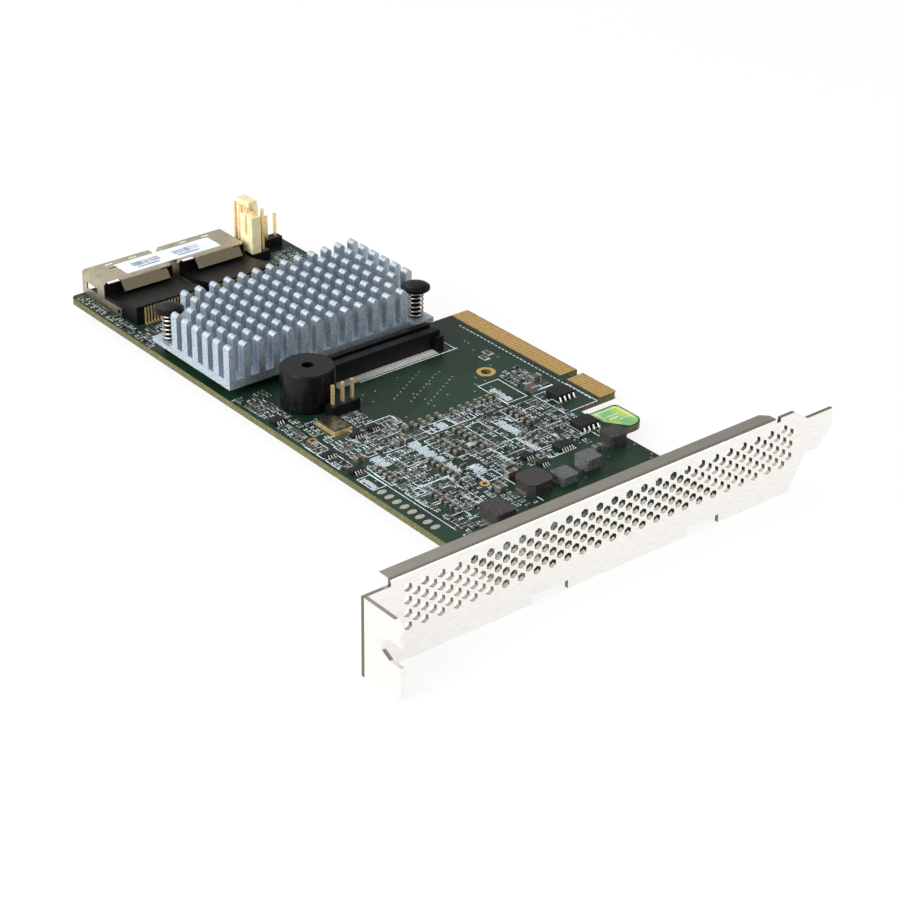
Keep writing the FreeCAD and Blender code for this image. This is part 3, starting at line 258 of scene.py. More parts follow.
# Rows are: name, tone, second tone, roughness, metallic, then blotch, grain and relief depth in mm.
# Real grain on most of these is near 0.05 mm; it is drawn at 0.08 mm or more, or it would not show.
finishes = {
    "mask": solderMask(),
    "bracket": rolledSteel(),
    "cage": nickelSilver(),
    # hard gold, electroplated: warm and satin, rubbed darker in streaks along the way the card slides in
    "gold": grained("hardGoldPlate", "#efcd8c", "#d6ad68", 0.4, 1.0, 1.4, 0.3, 0.002, (6, 1, 1)),
    # thin gold plated on drawn pins: paler than the fingers, with a sharper glint on each edge
    "pinGold": grained("goldPlatedPins", "#ffe7b8", "#eecb8c", 0.32, 0.8, 0.8, 0.2, 0.002),
    # clear anodising on a bead-blasted extrusion: bluish, grainy, soft sheen
    "anodised": grained("clearAnodisedAluminium", "#c6d0d8", "#a6b3be", 0.56, 1.0, 0.45, 0.16, 0.016),
    # drawn spring wire: a bright thin line of light along every turn
    "spring": grained("springSteelWire", "#cfccc4", "#a8a59c", 0.26, 1.0, 0.6, 0.1, 0.002),
    # matte tin, electroplated: pale, slightly frosted
    "tin": grained("matteTin", "#dcdad2", "#bdbbb3", 0.36, 1.0, 0.5, 0.15, 0.004),
    # solder as it set after reflow: bright, smooth and a little wavy
    "solder": grained("reflowedSolder", "#d5d5d0", "#a9aaa6", 0.24, 1.0, 0.4, 0.3, 0.008),
    # zinc plating on a headed screw: an even cool grey sheen
    "screw": grained("zincPlatedSteel", "#c8c6be", "#a6a49b", 0.33, 1.0, 0.8, 0.15, 0.003),
    # nickel lid, stamped: a dark, soft mirror
    "lid": grained("nickelLid", "#7b7770", "#57544e", 0.38, 1.0, 1.6, 0.2, 0.004),
    # nylon with glass fibre, injection moulded: deep black, half matt, faintly pitted
    "black": grained("glassFilledNylon", "#090909", "#060607", 0.4, 0.0, 1.5, 0.12, 0.006,
                     Specular_IOR_Level=0.2),
    # polyester moulded in a polished tool: black with a clear stripe of light down its side
    "buzzer": grained("mouldedPolyester", "#060607", "#040405", 0.28, 0.0, 4.0, 0.2, 0.004,
                      Specular_IOR_Level=0.25),
    # nylon cap, injection moulded: smooth black with a dim highlight
    "cap": grained("blackNylonCap", "#060607", "#0a0a0b", 0.34, 0.0, 1.0, 0.2, 0.004,
                   Specular_IOR_Level=0.16),
    # epoxy, transfer moulded: charcoal, matt, sandy to the touch
    "epoxy": grained("mouldedEpoxy", "#121213", "#0d0d0e", 0.52, 0.0, 1.0, 0.08, 0.008,
                     Specular_IOR_Level=0.3),
    # ivory nylon, injection moulded: warm, and light soaks in a little at its edges
    "ivory": grained("ivoryNylon", "#e6d7b0", "#d8c79c", 0.38, 0.0, 2.0, 0.3, 0.004, Subsurface_Weight=0.12),
    # coated paper: cool white and nearly flat
    "paper": grained("coatedPaperLabel", "#dfe5ea", "#cfd7de", 0.55, 0.0, 3.0, 0.3, 0.003),
    # pressed iron powder: speckled grey, slightly porous
    "powder": grained("pressedIronPowder", "#5f6264", "#3a3c3e", 0.6, 0.0, 0.35, 0.14, 0.014),
    # the same powder under dark lacquer: nearly black, with speckles that catch the light
    "darkPowder": grained("lacqueredIronPowder", "#3a3835", "#0f0e0d", 0.5, 0.0, 0.3, 0.14, 0.012),
    # titanate fired in a kiln: warm brown, smooth and stony
    "ceramic": grained("sinteredTitanate", "#5b5448", "#3e382e", 0.42, 0.0, 0.3, 0.1, 0.004),
    # grey ceramic fired in a kiln: a cooler, paler body that breaks up the brown rows
    "paleCeramic": grained("sinteredGreyCeramic", "#66645e", "#494743", 0.42, 0.0, 0.3, 0.1, 0.004),
    # glass printed over the resistor and fired: near black and glossy
    "resistor": grained("glassCoatedResistor", "#17181b", "#0f1012", 0.28, 0.0, 0.3, 0.1, 0.002),
    # solder with a frosted skin, pale, and painted nearly white as a painted highlight where it would look
    # dark, so fine rows read as pale lines
    "frostedWithHighlight": grained("frostedSolderPaintedBright", "#f4f3ee", "#dbdad4", 0.5, 0.4, 0.4, 0.2, 0.004),
    # tin dulled in the oven: grey ends that frame the darker bodies
    "dullTin": grained("dullTinnedEnd", "#a3a19b", "#74726c", 0.42, 1.0, 0.3, 0.1, 0.004),
    # silicone, rolled to a sheet: even grey with no gloss
    "rubber": grained("siliconePad", "#7c8087", "#6b6f75", 0.7, 0.0, 1.0, 0.2, 0.01),
    # legend ink, screen printed: cool white, slightly broken up by the mask's texture
    "ink": grained("legendInk", "#e4edf6", "#bccbd8", 0.6, 0.0, 0.35, 0.1, 0.004),
    # ribbon print on the label: dull blue-black, flatter than the paper
    "print": grained("labelPrint", "#56648a", "#3c4868", 0.6, 0.0, 0.5, 0.1, 0.001),
    # glass laminate with no mask: straw brown and half matt between the gold
    "bareLaminate": grained("bareGlassLaminate", "#9a7a43", "#7d6234", 0.5, 0.0, 1.0, 0.2, 0.004),
    # thin mask with no copper behind it: light comes through in green and yellow
    "lightMask": grained("thinMaskOverLaminate", "#5aa06b", "#a9c04c", 0.4, 0.0, 7.0, 0.3, 0.004),
}
wear = {
    "circuit_board": "mask", "edge_contacts_top": "gold", "edge_contacts_bottom": "gold",
    "plated_rings": "gold", "bracket": "bracket", "bracket_screws": "screw", "controller_chip": "epoxy",
    "thermal_pad": "rubber", "heat_sink": "anodised", "push_pins": "cap", "push_pin_springs": "spring",
    "sas_shell_left": "cage", "sas_shell_right": "cage", "sas_block_left": "black",
    "sas_block_right": "black", "sas_leads_left": "pinGold", "sas_leads_right": "pinGold",
    "port_label": "paper", "buzzer": "buzzer", "buzzer_leads": "tin", "mezzanine_connector": "black",
    "mezzanine_leads": "frostedWithHighlight", "tall_header_base": "black", "tall_header_pins": "pinGold",
    "led_header_base": "black", "led_header_pins": "pinGold", "jumper_header_base": "black",
    "jumper_header_pins": "pinGold", "front_shunt": "ivory", "rear_shunt": "ivory",
    "crystal_base": "pinGold", "crystal_lid": "lid", "memory_chips": "epoxy", "memory_chip_leads": "tin",
    "logic_chips": "epoxy", "logic_chip_leads": "tin", "grey_inductors": "powder",
    "dark_inductors": "darkPowder", "large_capacitors": "ceramic", "small_capacitors": "ceramic",
    "memory_packages": "epoxy", "decoupling_capacitors": "ceramic",
}
for name, finish in wear.items():
    slots = nodes[name].data.materials
    slots.clear()
    slots.append(finishes[finish])
print("finishes on:", len(wear), "nodes")

# Bevel widths in mm that ease the sharp edges of the CAD solids, and the fold that counts as an edge.
easeAngle = math.radians(35)
eased = {"heat_sink": 0.14, "bracket": 0.1, "sas_shell_left": 0.1, "sas_shell_right": 0.1,
         "sas_block_left": 0.1, "sas_block_right": 0.1, "controller_chip": 0.1, "mezzanine_connector": 0.12,
         "dark_inductors": 0.25, "grey_inductors": 0.2, "front_shunt": 0.15, "rear_shunt": 0.15,
         "large_capacitors": 0.08, "tall_header_pins": 0.12, "led_header_pins": 0.12,
         "jumper_header_pins": 0.12, "tall_header_base": 0.08, "led_header_base": 0.08,
         "jumper_header_base": 0.08, "memory_chips": 0.06, "logic_chips": 0.06, "crystal_base": 0.1}
for name, width in eased.items():
    bevel = nodes[name].modifiers.new("eased edges", "BEVEL")
    bevel.width = width * mm
    bevel.segments = 2
    bevel.limit_method = "ANGLE"
    bevel.angle_limit = easeAngle
print("edges eased on:", len(eased), "nodes")


# Small pieces are gathered as closed prisms in one shape and become one mesh.
def newShape():
    return {"points": [], "faces": [], "slots": []}


def prism(shape, outline, low, high, slot=0):
    # outline: (x, y) in metres, counter-clockwise; low and high in mm
    first, count = len(shape["points"]), len(outline)
    for z in (low, high):
        shape["points"] += [(x, y, z * mm) for x, y in outline]
    shape["faces"].append([first + i for i in reversed(range(count))])
    shape["faces"].append([first + count + i for i in range(count)])
    for i in range(count):
        j = (i + 1) % count
        shape["faces"].append([first + i, first + j, first + count + j, first + count + i])
    shape["slots"] += [slot] * (count + 2)


def slab(shape, across, along, width, length, low, high, slot=0, turn=0.0):
    # a block centred on its place, width across the board and length along it, in mm
    x, y, _ = spot(across, along)
    c, s = math.cos(turn), math.sin(turn)
    corners = [(-1, -1), (1, -1), (1, 1), (-1, 1)]
    prism(shape, [(x + (c * i * width - s * j * length) / 2 * mm,
                   y + (s * i * width + c * j * length) / 2 * mm) for i, j in corners], low, high, slot)


def puck(shape, across, along, radius, low, high, slot=0, sides=16, stretch=1.0):
    x, y, _ = spot(across, along)
    prism(shape, [(x + radius * stretch * mm * math.cos(math.tau * i / sides),
                   y + radius * mm * math.sin(math.tau * i / sides)) for i in range(sides)], low, high, slot)


def rings(shape, circles, sides, slot=0):
    # a closed lathe: circles are (centre, radius) pairs in metres, with flat ends
    first = len(shape["points"])
    for centre, radius in circles:
        shape["points"] += [(centre[0] + radius * math.cos(math.tau * i / sides),
                             centre[1] + radius * math.sin(math.tau * i / sides), centre[2])
                            for i in range(sides)]
    for k in range(len(circles) - 1):
        a, b = first + k * sides, first + (k + 1) * sides
        for i in range(sides):
            j = (i + 1) % sides
            shape["faces"].append([a + i, a + j, b + j, b + i])
    last = first + (len(circles) - 1) * sides
    shape["faces"].append([first + i for i in reversed(range(sides))])
    shape["faces"].append([last + i for i in range(sides)])
    shape["slots"] += [slot] * (sides * (len(circles) - 1) + 2)


def makePiece(name, shape, *finishNames, smooth=False):
    mesh = bpy.data.meshes.new(name)
    mesh.from_pydata(shape["points"], [], shape["faces"])
    for finish in finishNames:
        mesh.materials.append(finishes[finish])
    mesh.polygons.foreach_set("material_index", shape["slots"])
    mesh.polygons.foreach_set("use_smooth", [smooth] * len(mesh.polygons))
    piece = bpy.data.objects.new(name, mesh)
    scene.collection.objects.link(piece)
    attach(piece, "root")
    print(name + ":", len(shape["faces"]), "faces")
    return piece


def islands(name):
    # low and high corners in mm of each loose solid of a CAD node, as (across, along, z)
    mesh = nodes[name].data
    root = list(range(len(mesh.vertices)))

    def find(i):
        while root[i] != i:
            root[i] = root[root[i]]
            i = root[i]
        return i

    sameSpot = {}
    for vertex in mesh.vertices:
        key = tuple(round(c * 1e6) for c in vertex.co)
        root[find(vertex.index)] = find(sameSpot.setdefault(key, vertex.index))
    for edge in mesh.edges:
        root[find(edge.vertices[0])] = find(edge.vertices[1])
    groups = {}
    for vertex in mesh.vertices:
        groups.setdefault(find(vertex.index), []).append(nodes[name].matrix_world @ vertex.co)
    x0, y0, _ = spot(0, 0)
    out = []
    for points in groups.values():
        lows = [min(p[k] for p in points) / mm for k in range(3)]
        highs = [max(p[k] for p in points) / mm for k in range(3)]
        out.append(((lows[0] - x0 / mm, lows[1] - y0 / mm, lows[2]),
                    (highs[0] - x0 / mm, highs[1] - y0 / mm, highs[2])))
    return out


# What already stands on the component face keeps small parts away from its place.
notStanding = ("circuit_board", "bracket", "memory_packages", "decoupling_capacitors",
               "edge_contacts_bottom", "port_label", "heat_sink")
standing = [box for name in nodes if name not in notStanding
            for box in islands(name) if box[1][2] > 0.04]
taken = [(low[0], low[1], high[0], high[1]) for low, high in standing]
print("standing parts:", len(taken))


def isFree(a0, b0, a1, b1, gap=0.12):
    return all(a1 + gap < t[0] or a0 - gap > t[2] or b1 + gap < t[1] or b0 - gap > t[3]
               for t in taken)


# Printed legend: line width, ink thickness and the hatched blocks' rows, in mm.
legend = {"line": 0.17, "thick": 0.02, "hatchPitch": 0.36, "hatchLine": 0.19}
ink = newShape()


def stroke(across, along, width, length):
    slab(ink, across, along, width, length, 0.0, legend["thick"])


def outline(a0, b0, a1, b1, line=legend["line"]):
    # four strokes round a rectangle
    for b in (b0, b1):
        stroke((a0 + a1) / 2, b, a1 - a0 + line, line)
    for a in (a0, a1):
        stroke(a, (b0 + b1) / 2, line, b1 - b0 - line)


def marks(across, along, count, size, rng, upright=False):
    # a run of generic marks where a maker would print a reference: no letters
    for i in range(count):
        shift = (i - (count - 1) / 2) * size
        a, b = (across, along + shift) if upright else (across + shift, along)
        if rng.random() < 0.5:
            stroke(a, b, size * 0.2, size)
            stroke(a + size * 0.28, b + rng.choice((-0.36, 0.0, 0.36)) * size, size * 0.36, size * 0.2)
        else:
            stroke(a, b + size * 0.38, size * 0.62, size * 0.2)
            stroke(a - size * 0.2, b - size * 0.1, size * 0.2, size * 0.7)
            stroke(a + size * 0.12, b - size * 0.35, size * 0.4, size * 0.2)


# Printed frames and hatched blocks between the small parts, as (across, along) corners in mm.
frames = [(1.2, 46.3, 4.5, 51.8), (8.5, 57.8, 11.0, 63.2), (12.2, 47.8, 15.9, 56.2),
          (22.5, 46.4, 26.3, 50.4), (32.7, 44.4, 36.4, 55.8), (46.5, 58.4, 52.1, 68.2),
          (53.3, 47.4, 62.6, 57.6), (6.2, 40.2, 9.4, 46.8), (49.6, 38.6, 55.6, 43.8),
          (5.4, 45.6, 7.0, 51.6), (43.0, 50.4, 46.8, 56.8), (22.0, 50.9, 24.4, 56.1)]
hatched = [(7.9, 52.4, 10.9, 57.2), (17.9, 47.0, 20.9, 57.6), (17.9, 41.8, 20.7, 45.8),
           (21.9, 38.0, 24.9, 42.6), (27.7, 57.9, 30.3, 60.6), (46.9, 59.0, 48.9, 65.6),
           (38.2, 38.8, 39.6, 43.8), (27.8, 48.6, 30.6, 50.2), (38.4, 44.2, 40.9, 53.4),
           (1.4, 46.6, 2.9, 51.4)]
# Long strokes on the board and on the hook's patch, as (across, along, width, length).
longLines = [(4.65, 40.0, 0.14, 31.6), (25.0, 59.1, 5.0, 0.2), (41.0, 85.4, 27.4, 0.22),
             (54.1, 87.4, 0.22, 4.0), (57.3, 59.0, 5.2, 0.5), (52.5, 43.8, 5.6, 0.2),
             (34.8, 41.0, 9.0, 0.18), (12.6, 41.8, 8.6, 0.18)]
hookLines = [(60.6, 42.9, 6.2, 0.2), (63.7, 39.9, 0.2, 6.0), (61.9, 38.2, 3.0, 0.16),
             (58.1, 41.2, 0.2, 3.2), (60.6, 40.6, 3.8, 0.16), (60.2, 39.4, 2.6, 0.3)]
# A dashed row just inside the edge contacts, and a short stroke at each corner of the heat sink.
dashes = {"across": 62.3, "first": 49.6, "pitch": 1.26, "count": 36, "size": (0.18, 0.8)}
sinkCorners = {"across": (1.0, 56.6), "along": (95.2, 127.8), "size": (1.6, 0.18)}


def printLegend():
    rng = random.Random(4)
    for a0, b0, a1, b1 in frames:
        outline(a0, b0, a1, b1)
    for a0, b0, a1, b1 in hatched:
        pitch = legend["hatchPitch"]
        for i in range(int((b1 - b0) / pitch)):
            shift = rng.uniform(0, 0.25) * (a1 - a0)
            stroke((a0 + a1) / 2 + rng.choice((-0.5, 0.5)) * shift, b0 + (i + 0.5) * pitch,
                   a1 - a0 - shift, legend["hatchLine"])
        taken.append((a0, b0, a1, b1))
    for across, along, width, length in longLines:
        stroke(across, along, width, length)
    for across, along, width, length in hookLines:
        slab(ink, across, along, width, length, 0.02, 0.05)  # on top of the hook's patch
    for i in range(dashes["count"]):
        stroke(dashes["across"], dashes["first"] + i * dashes["pitch"], *dashes["size"])
    for along in sinkCorners["along"]:
        for across in sinkCorners["across"]:
            stroke(across, along, *sinkCorners["size"])


# Marks on the solder side: frames round the memory packages, a dot at pin one, and runs of strokes.
underRuns = {"places": ((10, 40), (24, 46), (38, 38), (14, 118), (30, 124), (46, 118), (20, 140), (34, 148)),
             "pitch": 0.9, "stem": (0.22, 1.1), "arm": (0.4, 0.22), "frame": 0.16, "margin": 1.2}


def underMarks(shape):
    rng = random.Random(8)
    low, high = board["under"] - 0.02, board["under"]
    line = underRuns["frame"]
    for corner, far in islands("memory_packages"):
        a, b = (corner[0] + far[0]) / 2, (corner[1] + far[1]) / 2
        wide, long = far[0] - corner[0] + underRuns["margin"], far[1] - corner[1] + underRuns["margin"]
        for side in (-0.5, 0.5):
            slab(shape, a + side * wide, b, line, long, low, high)
            slab(shape, a, b + side * long, wide, line, low, high)
        puck(shape, a - wide / 2 - 0.7, b - long / 2 + 0.6, 0.3, low, high, sides=12)
    for a, b in underRuns["places"]:
        for i in range(rng.randint(3, 5)):
            slab(shape, a + i * underRuns["pitch"], b, *underRuns["stem"], low, high)
            slab(shape, a + i * underRuns["pitch"] + 0.25, b + rng.choice((-0.4, 0.4)),
                 *underRuns["arm"], low, high)


# Tiny soldered parts: length and width over the ends and height, in mm.
# Their bodies are 0 ceramic, 1 paleCeramic and 2 resistor; slot 3 is the tinned ends.
chipKinds = {"small": (1.0, 0.5, 0.35), "medium": (1.6, 0.8, 0.45), "wide": (2.0, 1.25, 0.6)}
tinnedEnds = 3
passives, joints = newShape(), newShape()


def chip(across, along, kind, body, upright):
    length, width, height = chipKinds[kind]
    side = lambda l, w: (w, l) if upright else (l, w)
    slab(passives, across, along, *side(length * 0.56, width * 0.94), 0.04, height, body)
    for end in (-1, 1):
        shift = end * length * 0.37
        a, b = (across, along + shift) if upright else (across + shift, along)
        slab(passives, a, b, *side(length * 0.26, width), 0.03, height + 0.02, tinnedEnds)
        shift = end * length * 0.5
        a, b = (across, along + shift) if upright else (across + shift, along)
        slab(joints, a, b, *side(length * 0.34, width * 1.05), 0.0, 0.06)
        slab(joints, a, b, *side(length * 0.16, width * 0.9), 0.05, height * 0.5)


# Fields of small parts: corners (across, along), steps and how full they are.
fields = [
    {"area": (5.6, 22.4, 25.6, 56.6), "step": (1.75, 1.02), "full": 0.46, "upright": False},
    {"area": (25.6, 34.6, 55.4, 57.4), "step": (1.72, 1.06), "full": 0.46, "upright": False},
    {"area": (5.6, 57.0, 24.6, 69.4), "step": (1.02, 1.74), "full": 0.56, "upright": True},
    {"area": (24.8, 57.6, 47.4, 64.2), "step": (1.06, 1.8), "full": 0.5, "upright": True},
    {"area": (0.9, 52.2, 4.3, 95.6), "step": (1.62, 0.94), "full": 0.6, "upright": False},
    {"area": (0.5, 128.4, 3.3, 159.6), "step": (1.35, 1.1), "full": 0.4, "upright": False},
    {"area": (4.6, 69.6, 20.4, 78.4), "step": (1.62, 1.02), "full": 0.5, "upright": False},
    {"area": (4.4, 78.4, 9.2, 95.4), "step": (1.05, 1.7), "full": 0.55, "upright": True},
    {"area": (53.0, 59.4, 61.0, 71.6), "step": (1.72, 1.12), "full": 0.55, "upright": False},
    {"area": (20.0, 10.4, 55.6, 22.0), "step": (1.9, 1.5), "full": 0.3, "upright": False},
    {"area": (2.0, 8.6, 19.6, 22.0), "step": (1.9, 1.5), "full": 0.3, "upright": False},
    {"area": (2.0, 128.8, 42.0, 136.6), "step": (1.2, 1.9), "full": 0.5, "upright": True},
    {"area": (44.6, 128.4, 57.6, 152.6), "step": (1.75, 1.15), "full": 0.55, "upright": False},
    {"area": (49.6, 86.6, 53.6, 94.0), "step": (1.2, 1.8), "full": 0.4, "upright": True},
]


def fillFields():
    rng = random.Random(21)
    for field in fields:
        a0, b0, a1, b1 = field["area"]
        stepA, stepB = field["step"]
        for i in range(int((a1 - a0) / stepA)):
            for j in range(int((b1 - b0) / stepB)):
                a = a0 + (i + 0.5) * stepA + rng.uniform(-0.05, 0.05)
                b = b0 + (j + 0.5) * stepB + rng.uniform(-0.05, 0.05)
                draw = rng.random()
                halfA, halfB = (0.3, 0.62) if field["upright"] else (0.62, 0.3)
                if not isFree(a - halfA, b - halfB, a + halfA, b + halfB):
                    continue
                if draw < field["full"]:
                    chip(a, b, "small", rng.choices((0, 1, 2), (4, 2, 4))[0], field["upright"])
                    # one printed stroke or two beside the part
                    for side in rng.choice(((1,), (-1, 1), (-1, 1))):
                        if field["upright"]:
                            stroke(a + side * 0.44, b, 0.15, 1.35)
                        else:
                            stroke(a, b + side * 0.42, 1.35, 0.15)
                elif draw < field["full"] + 0.3:
                    marks(a, b, 2, 0.62, rng, field["upright"])
                elif draw < field["full"] + 0.36:
                    puck(joints, a, b, 0.3, 0.0, 0.03, sides=10)


def frameFields():
    # long frames and corner lines tie neighbouring parts into printed groups
    rng = random.Random(33)
    for field in fields[:5]:
        a0, b0, a1, b1 = field["area"]
        b = b0
        while b < b1 - 3:
            depth = rng.choice((3.1, 4.2, 5.3, 7.4))
            a = a0
            while a < a1 - 1.5:
                width = rng.choice((1.9, 3.6, 5.4, 7.2))
                top, right = min(b + depth - 0.7, b1), min(a + width - 0.4, a1)
                draw = rng.random()
                if draw < 0.4:
                    outline(a, b, right, top, 0.18)
                elif draw < 0.7:
                    stroke((a + right) / 2, top, right - a, 0.2)
                    stroke(right, (b + top) / 2, 0.2, top - b)
                a += width
            b += depth


# Lone larger parts that stand out between the fields.
lonely = [(5.6, 20.6, "wide", 0, True), (12.0, 16.4, "medium", 2, False), (16.5, 12.6, "wide", 0, False),
          (50.8, 33.0, "wide", 0, True), (48.6, 30.6, "medium", 1, True), (26.6, 33.4, "medium", 2, False),
          (56.4, 78.0, "medium", 0, True), (58.6, 79.4, "medium", 0, True), (34.0, 132.0, "wide", 0, False),
          (11.0, 133.6, "wide", 0, True), (47.6, 142.0, "wide", 0, True), (52.8, 145.2, "medium", 2, False)]


def placeLonely():
    for across, along, kind, body, upright in lonely:
        length, width, _ = chipKinds[kind]
        half = (width / 2, length / 2) if upright else (length / 2, width / 2)
        if isFree(across - half[0], along - half[1], across + half[0], along + half[1], 0.3):
            chip(across, along, kind, body, upright)
            taken.append((across - half[0] - 0.4, along - half[1] - 0.4,
                          across + half[0] + 0.4, along + half[1] + 0.4))
            outline(across - half[0] - 0.35, along - half[1] - 0.35,
                    across + half[0] + 0.35, along + half[1] + 0.35, 0.13)


# Eight long bare pads beside the printed line near the bracket.
ovalPads = {"across": 2.2, "first": 27.6, "pitch": 2.46, "count": 8, "radius": 0.72, "stretch": 1.55,
            "thick": 0.05, "sides": 20, "keep": (0.6, 3.8, 0.9)}
# Vias: slanting rows by the mezzanine connector, and others strewn over both faces.
viaField = {"radius": 0.24, "thick": 0.03, "sides": 10, "count": 260, "rows": 3, "inRow": 9,
            "start": (28.6, 74.8), "step": (1.5, 0.84), "rowStep": (2.2, -3.1)}


def via(shape, across, along, low=0.0):
    puck(shape, across, along, viaField["radius"], low, low + viaField["thick"], 1, viaField["sides"])


def bareCopper():
    shape = newShape()
    nearSide, farSide, half = ovalPads["keep"]
    for i in range(ovalPads["count"]):
        along = ovalPads["first"] + i * ovalPads["pitch"]
        puck(shape, ovalPads["across"], along, ovalPads["radius"], 0.0, ovalPads["thick"], 0,
             ovalPads["sides"], ovalPads["stretch"])
        taken.append((nearSide, along - half, farSide, along + half))
    rng = random.Random(11)
    a0, b0 = viaField["start"]
    stepA, stepB = viaField["step"]
    rowA, rowB = viaField["rowStep"]
    for row in range(viaField["rows"]):
        for i in range(viaField["inRow"]):
            via(shape, a0 + i * stepA + row * rowA, b0 + i * stepB + row * rowB)
    for _ in range(viaField["count"]):
        a, b = rng.uniform(3, 60), rng.uniform(9, 158)
        if b > 95 or a > 56 and not 52 < b < 92:
            continue
        if isFree(a - 0.3, b - 0.3, a + 0.3, b + 0.3, 0.3):
            via(shape, a, b)
        via(shape, rng.uniform(3, 54), rng.uniform(20, 158), board["under"] - viaField["thick"])
    makePiece("bare_pads_and_vias", shape, "tin", "solder")


# Bare laminate under the edge contacts, and the mezzanine connector's solder lands.
fingers = {"inner": 64.0, "outer": 68.85, "near": (48.1, 59.0), "far": (61.2, 99.2)}
fingerSkin = 0.02
lands = {"first": 22.0, "pitch": 0.5, "count": 56, "width": 0.27, "length": 2.5, "rows": (87.1, 94.3),
         "thick": 0.08}


def makeFingerGround():
    shape = newShape()
    for b0, b1 in (fingers["near"], fingers["far"]):
        for low in (0.0, board["under"] - fingerSkin):
            slab(shape, (fingers["inner"] + fingers["outer"]) / 2, (b0 + b1) / 2,
                 fingers["outer"] - fingers["inner"], b1 - b0, low, low + fingerSkin)
    makePiece("finger_ground", shape, "bareLaminate")


def makeLands():
    shape = newShape()
    for along in lands["rows"]:
        for i in range(lands["count"]):
            slab(shape, lands["first"] + i * lands["pitch"], along, lands["width"], lands["length"],
                 0.0, lands["thick"])
    makePiece("mezzanine_lands", shape, "frostedWithHighlight")


makeFingerGround()
makeLands()
bareCopper()
printLegend()
placeLonely()
fillFields()
frameFields()
makePiece("chip_resistors_and_capacitors", passives, "ceramic", "paleCeramic", "resistor", "dullTin")
makePiece("solder_joints", joints, "solder")
underMarks(ink)
makePiece("printed_legend", ink, "ink")


# Push-pin springs as round wire: closed end turns and open turns between them; wire in mm.
springs = {"turns": 6.0, "closed": 0.75, "wire": 0.44, "section": 12, "steps": 26}


def coil(shape, low, high):
    wire = springs["wire"] / 2 * mm
    cx, cy = (low[0] + high[0]) / 2, (low[1] + high[1]) / 2
    x, y, _ = spot(cx, cy)
    radius = (high[0] - low[0]) / 2 * mm - wire
    bottom, top = low[2] * mm + wire, high[2] * mm - wire
    count = int(springs["turns"] * springs["steps"])
    share = springs["closed"] / springs["turns"]
    rise = top - bottom - 4 * wire
    first, section = len(shape["points"]), springs["section"]
    for i in range(count + 1):
        t = i / count
        opened = min(max((t - share) / (1 - 2 * share), 0), 1)
        ends = min(t / share, 1) + max((t - 1 + share) / share, 0)
        z = bottom + opened * rise + ends * 2 * wire
        angle = math.tau * springs["turns"] * t
        c, s = math.cos(angle), math.sin(angle)
        for k in range(section):
            u = math.tau * k / section
            reach = radius + wire * math.cos(u)
            shape["points"].append((x + reach * c, y + reach * s, z + wire * math.sin(u)))
    for i in range(count):
        for k in range(section):
            j = (k + 1) % section
            a, b = first + i * section, first + (i + 1) * section
            shape["faces"].append([a + k, b + k, b + j, a + j])
    shape["faces"].append([first + k for k in range(section)])
    shape["faces"].append([first + count * section + k for k in reversed(range(section))])
    shape["slots"] += [0] * (count * section + 2)


def makeSprings():
    shape = newShape()
    for low, high in islands("push_pin_springs"):
        coil(shape, low, high)
    piece = makePiece("push_pin_springs", shape, "spring", smooth=True)
    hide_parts("push_pin_springs")


makeSprings()

# Solder cones where leads come through: sizes in mm, and (share of height, share of foot) down the cone.
cones = {"foot": 0.95, "height": 0.9, "sides": 16,
         "profile": ((0.0, 1.0), (0.15, 0.8), (0.45, 0.55), (0.8, 0.42), (1.0, 0.3))}


def makeCones():
    shape = newShape()
    for name in ("tall_header_pins", "led_header_pins", "jumper_header_pins", "buzzer_leads"):
        for low, high in islands(name):
            x, y, z = spot((low[0] + high[0]) / 2, (low[1] + high[1]) / 2, board["under"])
            rings(shape, [((x, y, z - t * cones["height"] * mm), cones["foot"] * r * mm)
                          for t, r in reversed(cones["profile"])], cones["sides"])
    makePiece("solder_cones", shape, "solder", smooth=True)


makeCones()

# Low domes moulded on the push-pin caps.
dome = {"radius": 2.75, "height": 0.55, "rings": 7, "sides": 40, "sweep": 84}


def makeDomes():
    shape = newShape()
    for low, high in islands("push_pins"):
        x, y, z = spot((low[0] + high[0]) / 2, (low[1] + high[1]) / 2, high[2])
        sweep = math.radians(dome["sweep"])
        turns = [sweep * i / (dome["rings"] - 1) for i in range(dome["rings"])]
        rings(shape, [((x, y, z + dome["height"] * mm * math.sin(t)), dome["radius"] * mm * math.cos(t))
                      for t in turns], dome["sides"])
    makePiece("push_pin_domes", shape, "cap", smooth=True)


makeDomes()

# Plated end terminals of the power inductors, and metal ends that wrap the capacitors.
# reach, height, wrap and lift are in mm; share, end and inset are shares of the part's size.
terminals = {"reach": 0.35, "share": 0.5, "height": 0.5, "end": 0.2, "inset": 0.09, "wrap": 0.06,
             "lift": 0.03}


def makeTerminals():
    shape = newShape()
    for name in ("dark_inductors", "grey_inductors"):
        for low, high in islands(name):
            b = (low[1] + high[1]) / 2
            for end in (-1, 1):
                edge = (high[0] if end > 0 else low[0]) + end * terminals["reach"] / 2
                slab(shape, edge, b, terminals["reach"], (high[1] - low[1]) * terminals["share"],
                     0.0, terminals["height"])
    for low, high in islands("large_capacitors") + islands("small_capacitors"):
        a, b = (low[0] + high[0]) / 2, (low[1] + high[1]) / 2
        wide, long = high[0] - low[0], high[1] - low[1]
        top = high[2] + terminals["lift"]
        for end in (-1, 1):
            if wide > long:
                slab(shape, a + end * (wide * 0.5 - wide * terminals["inset"]), b,
                     wide * terminals["end"], long + terminals["wrap"], 0.02, top)
            else:
                slab(shape, a, b + end * (long * 0.5 - long * terminals["inset"]),
                     wide + terminals["wrap"], long * terminals["end"], 0.02, top)
    makePiece("plated_terminals", shape, "tin")


makeTerminals()
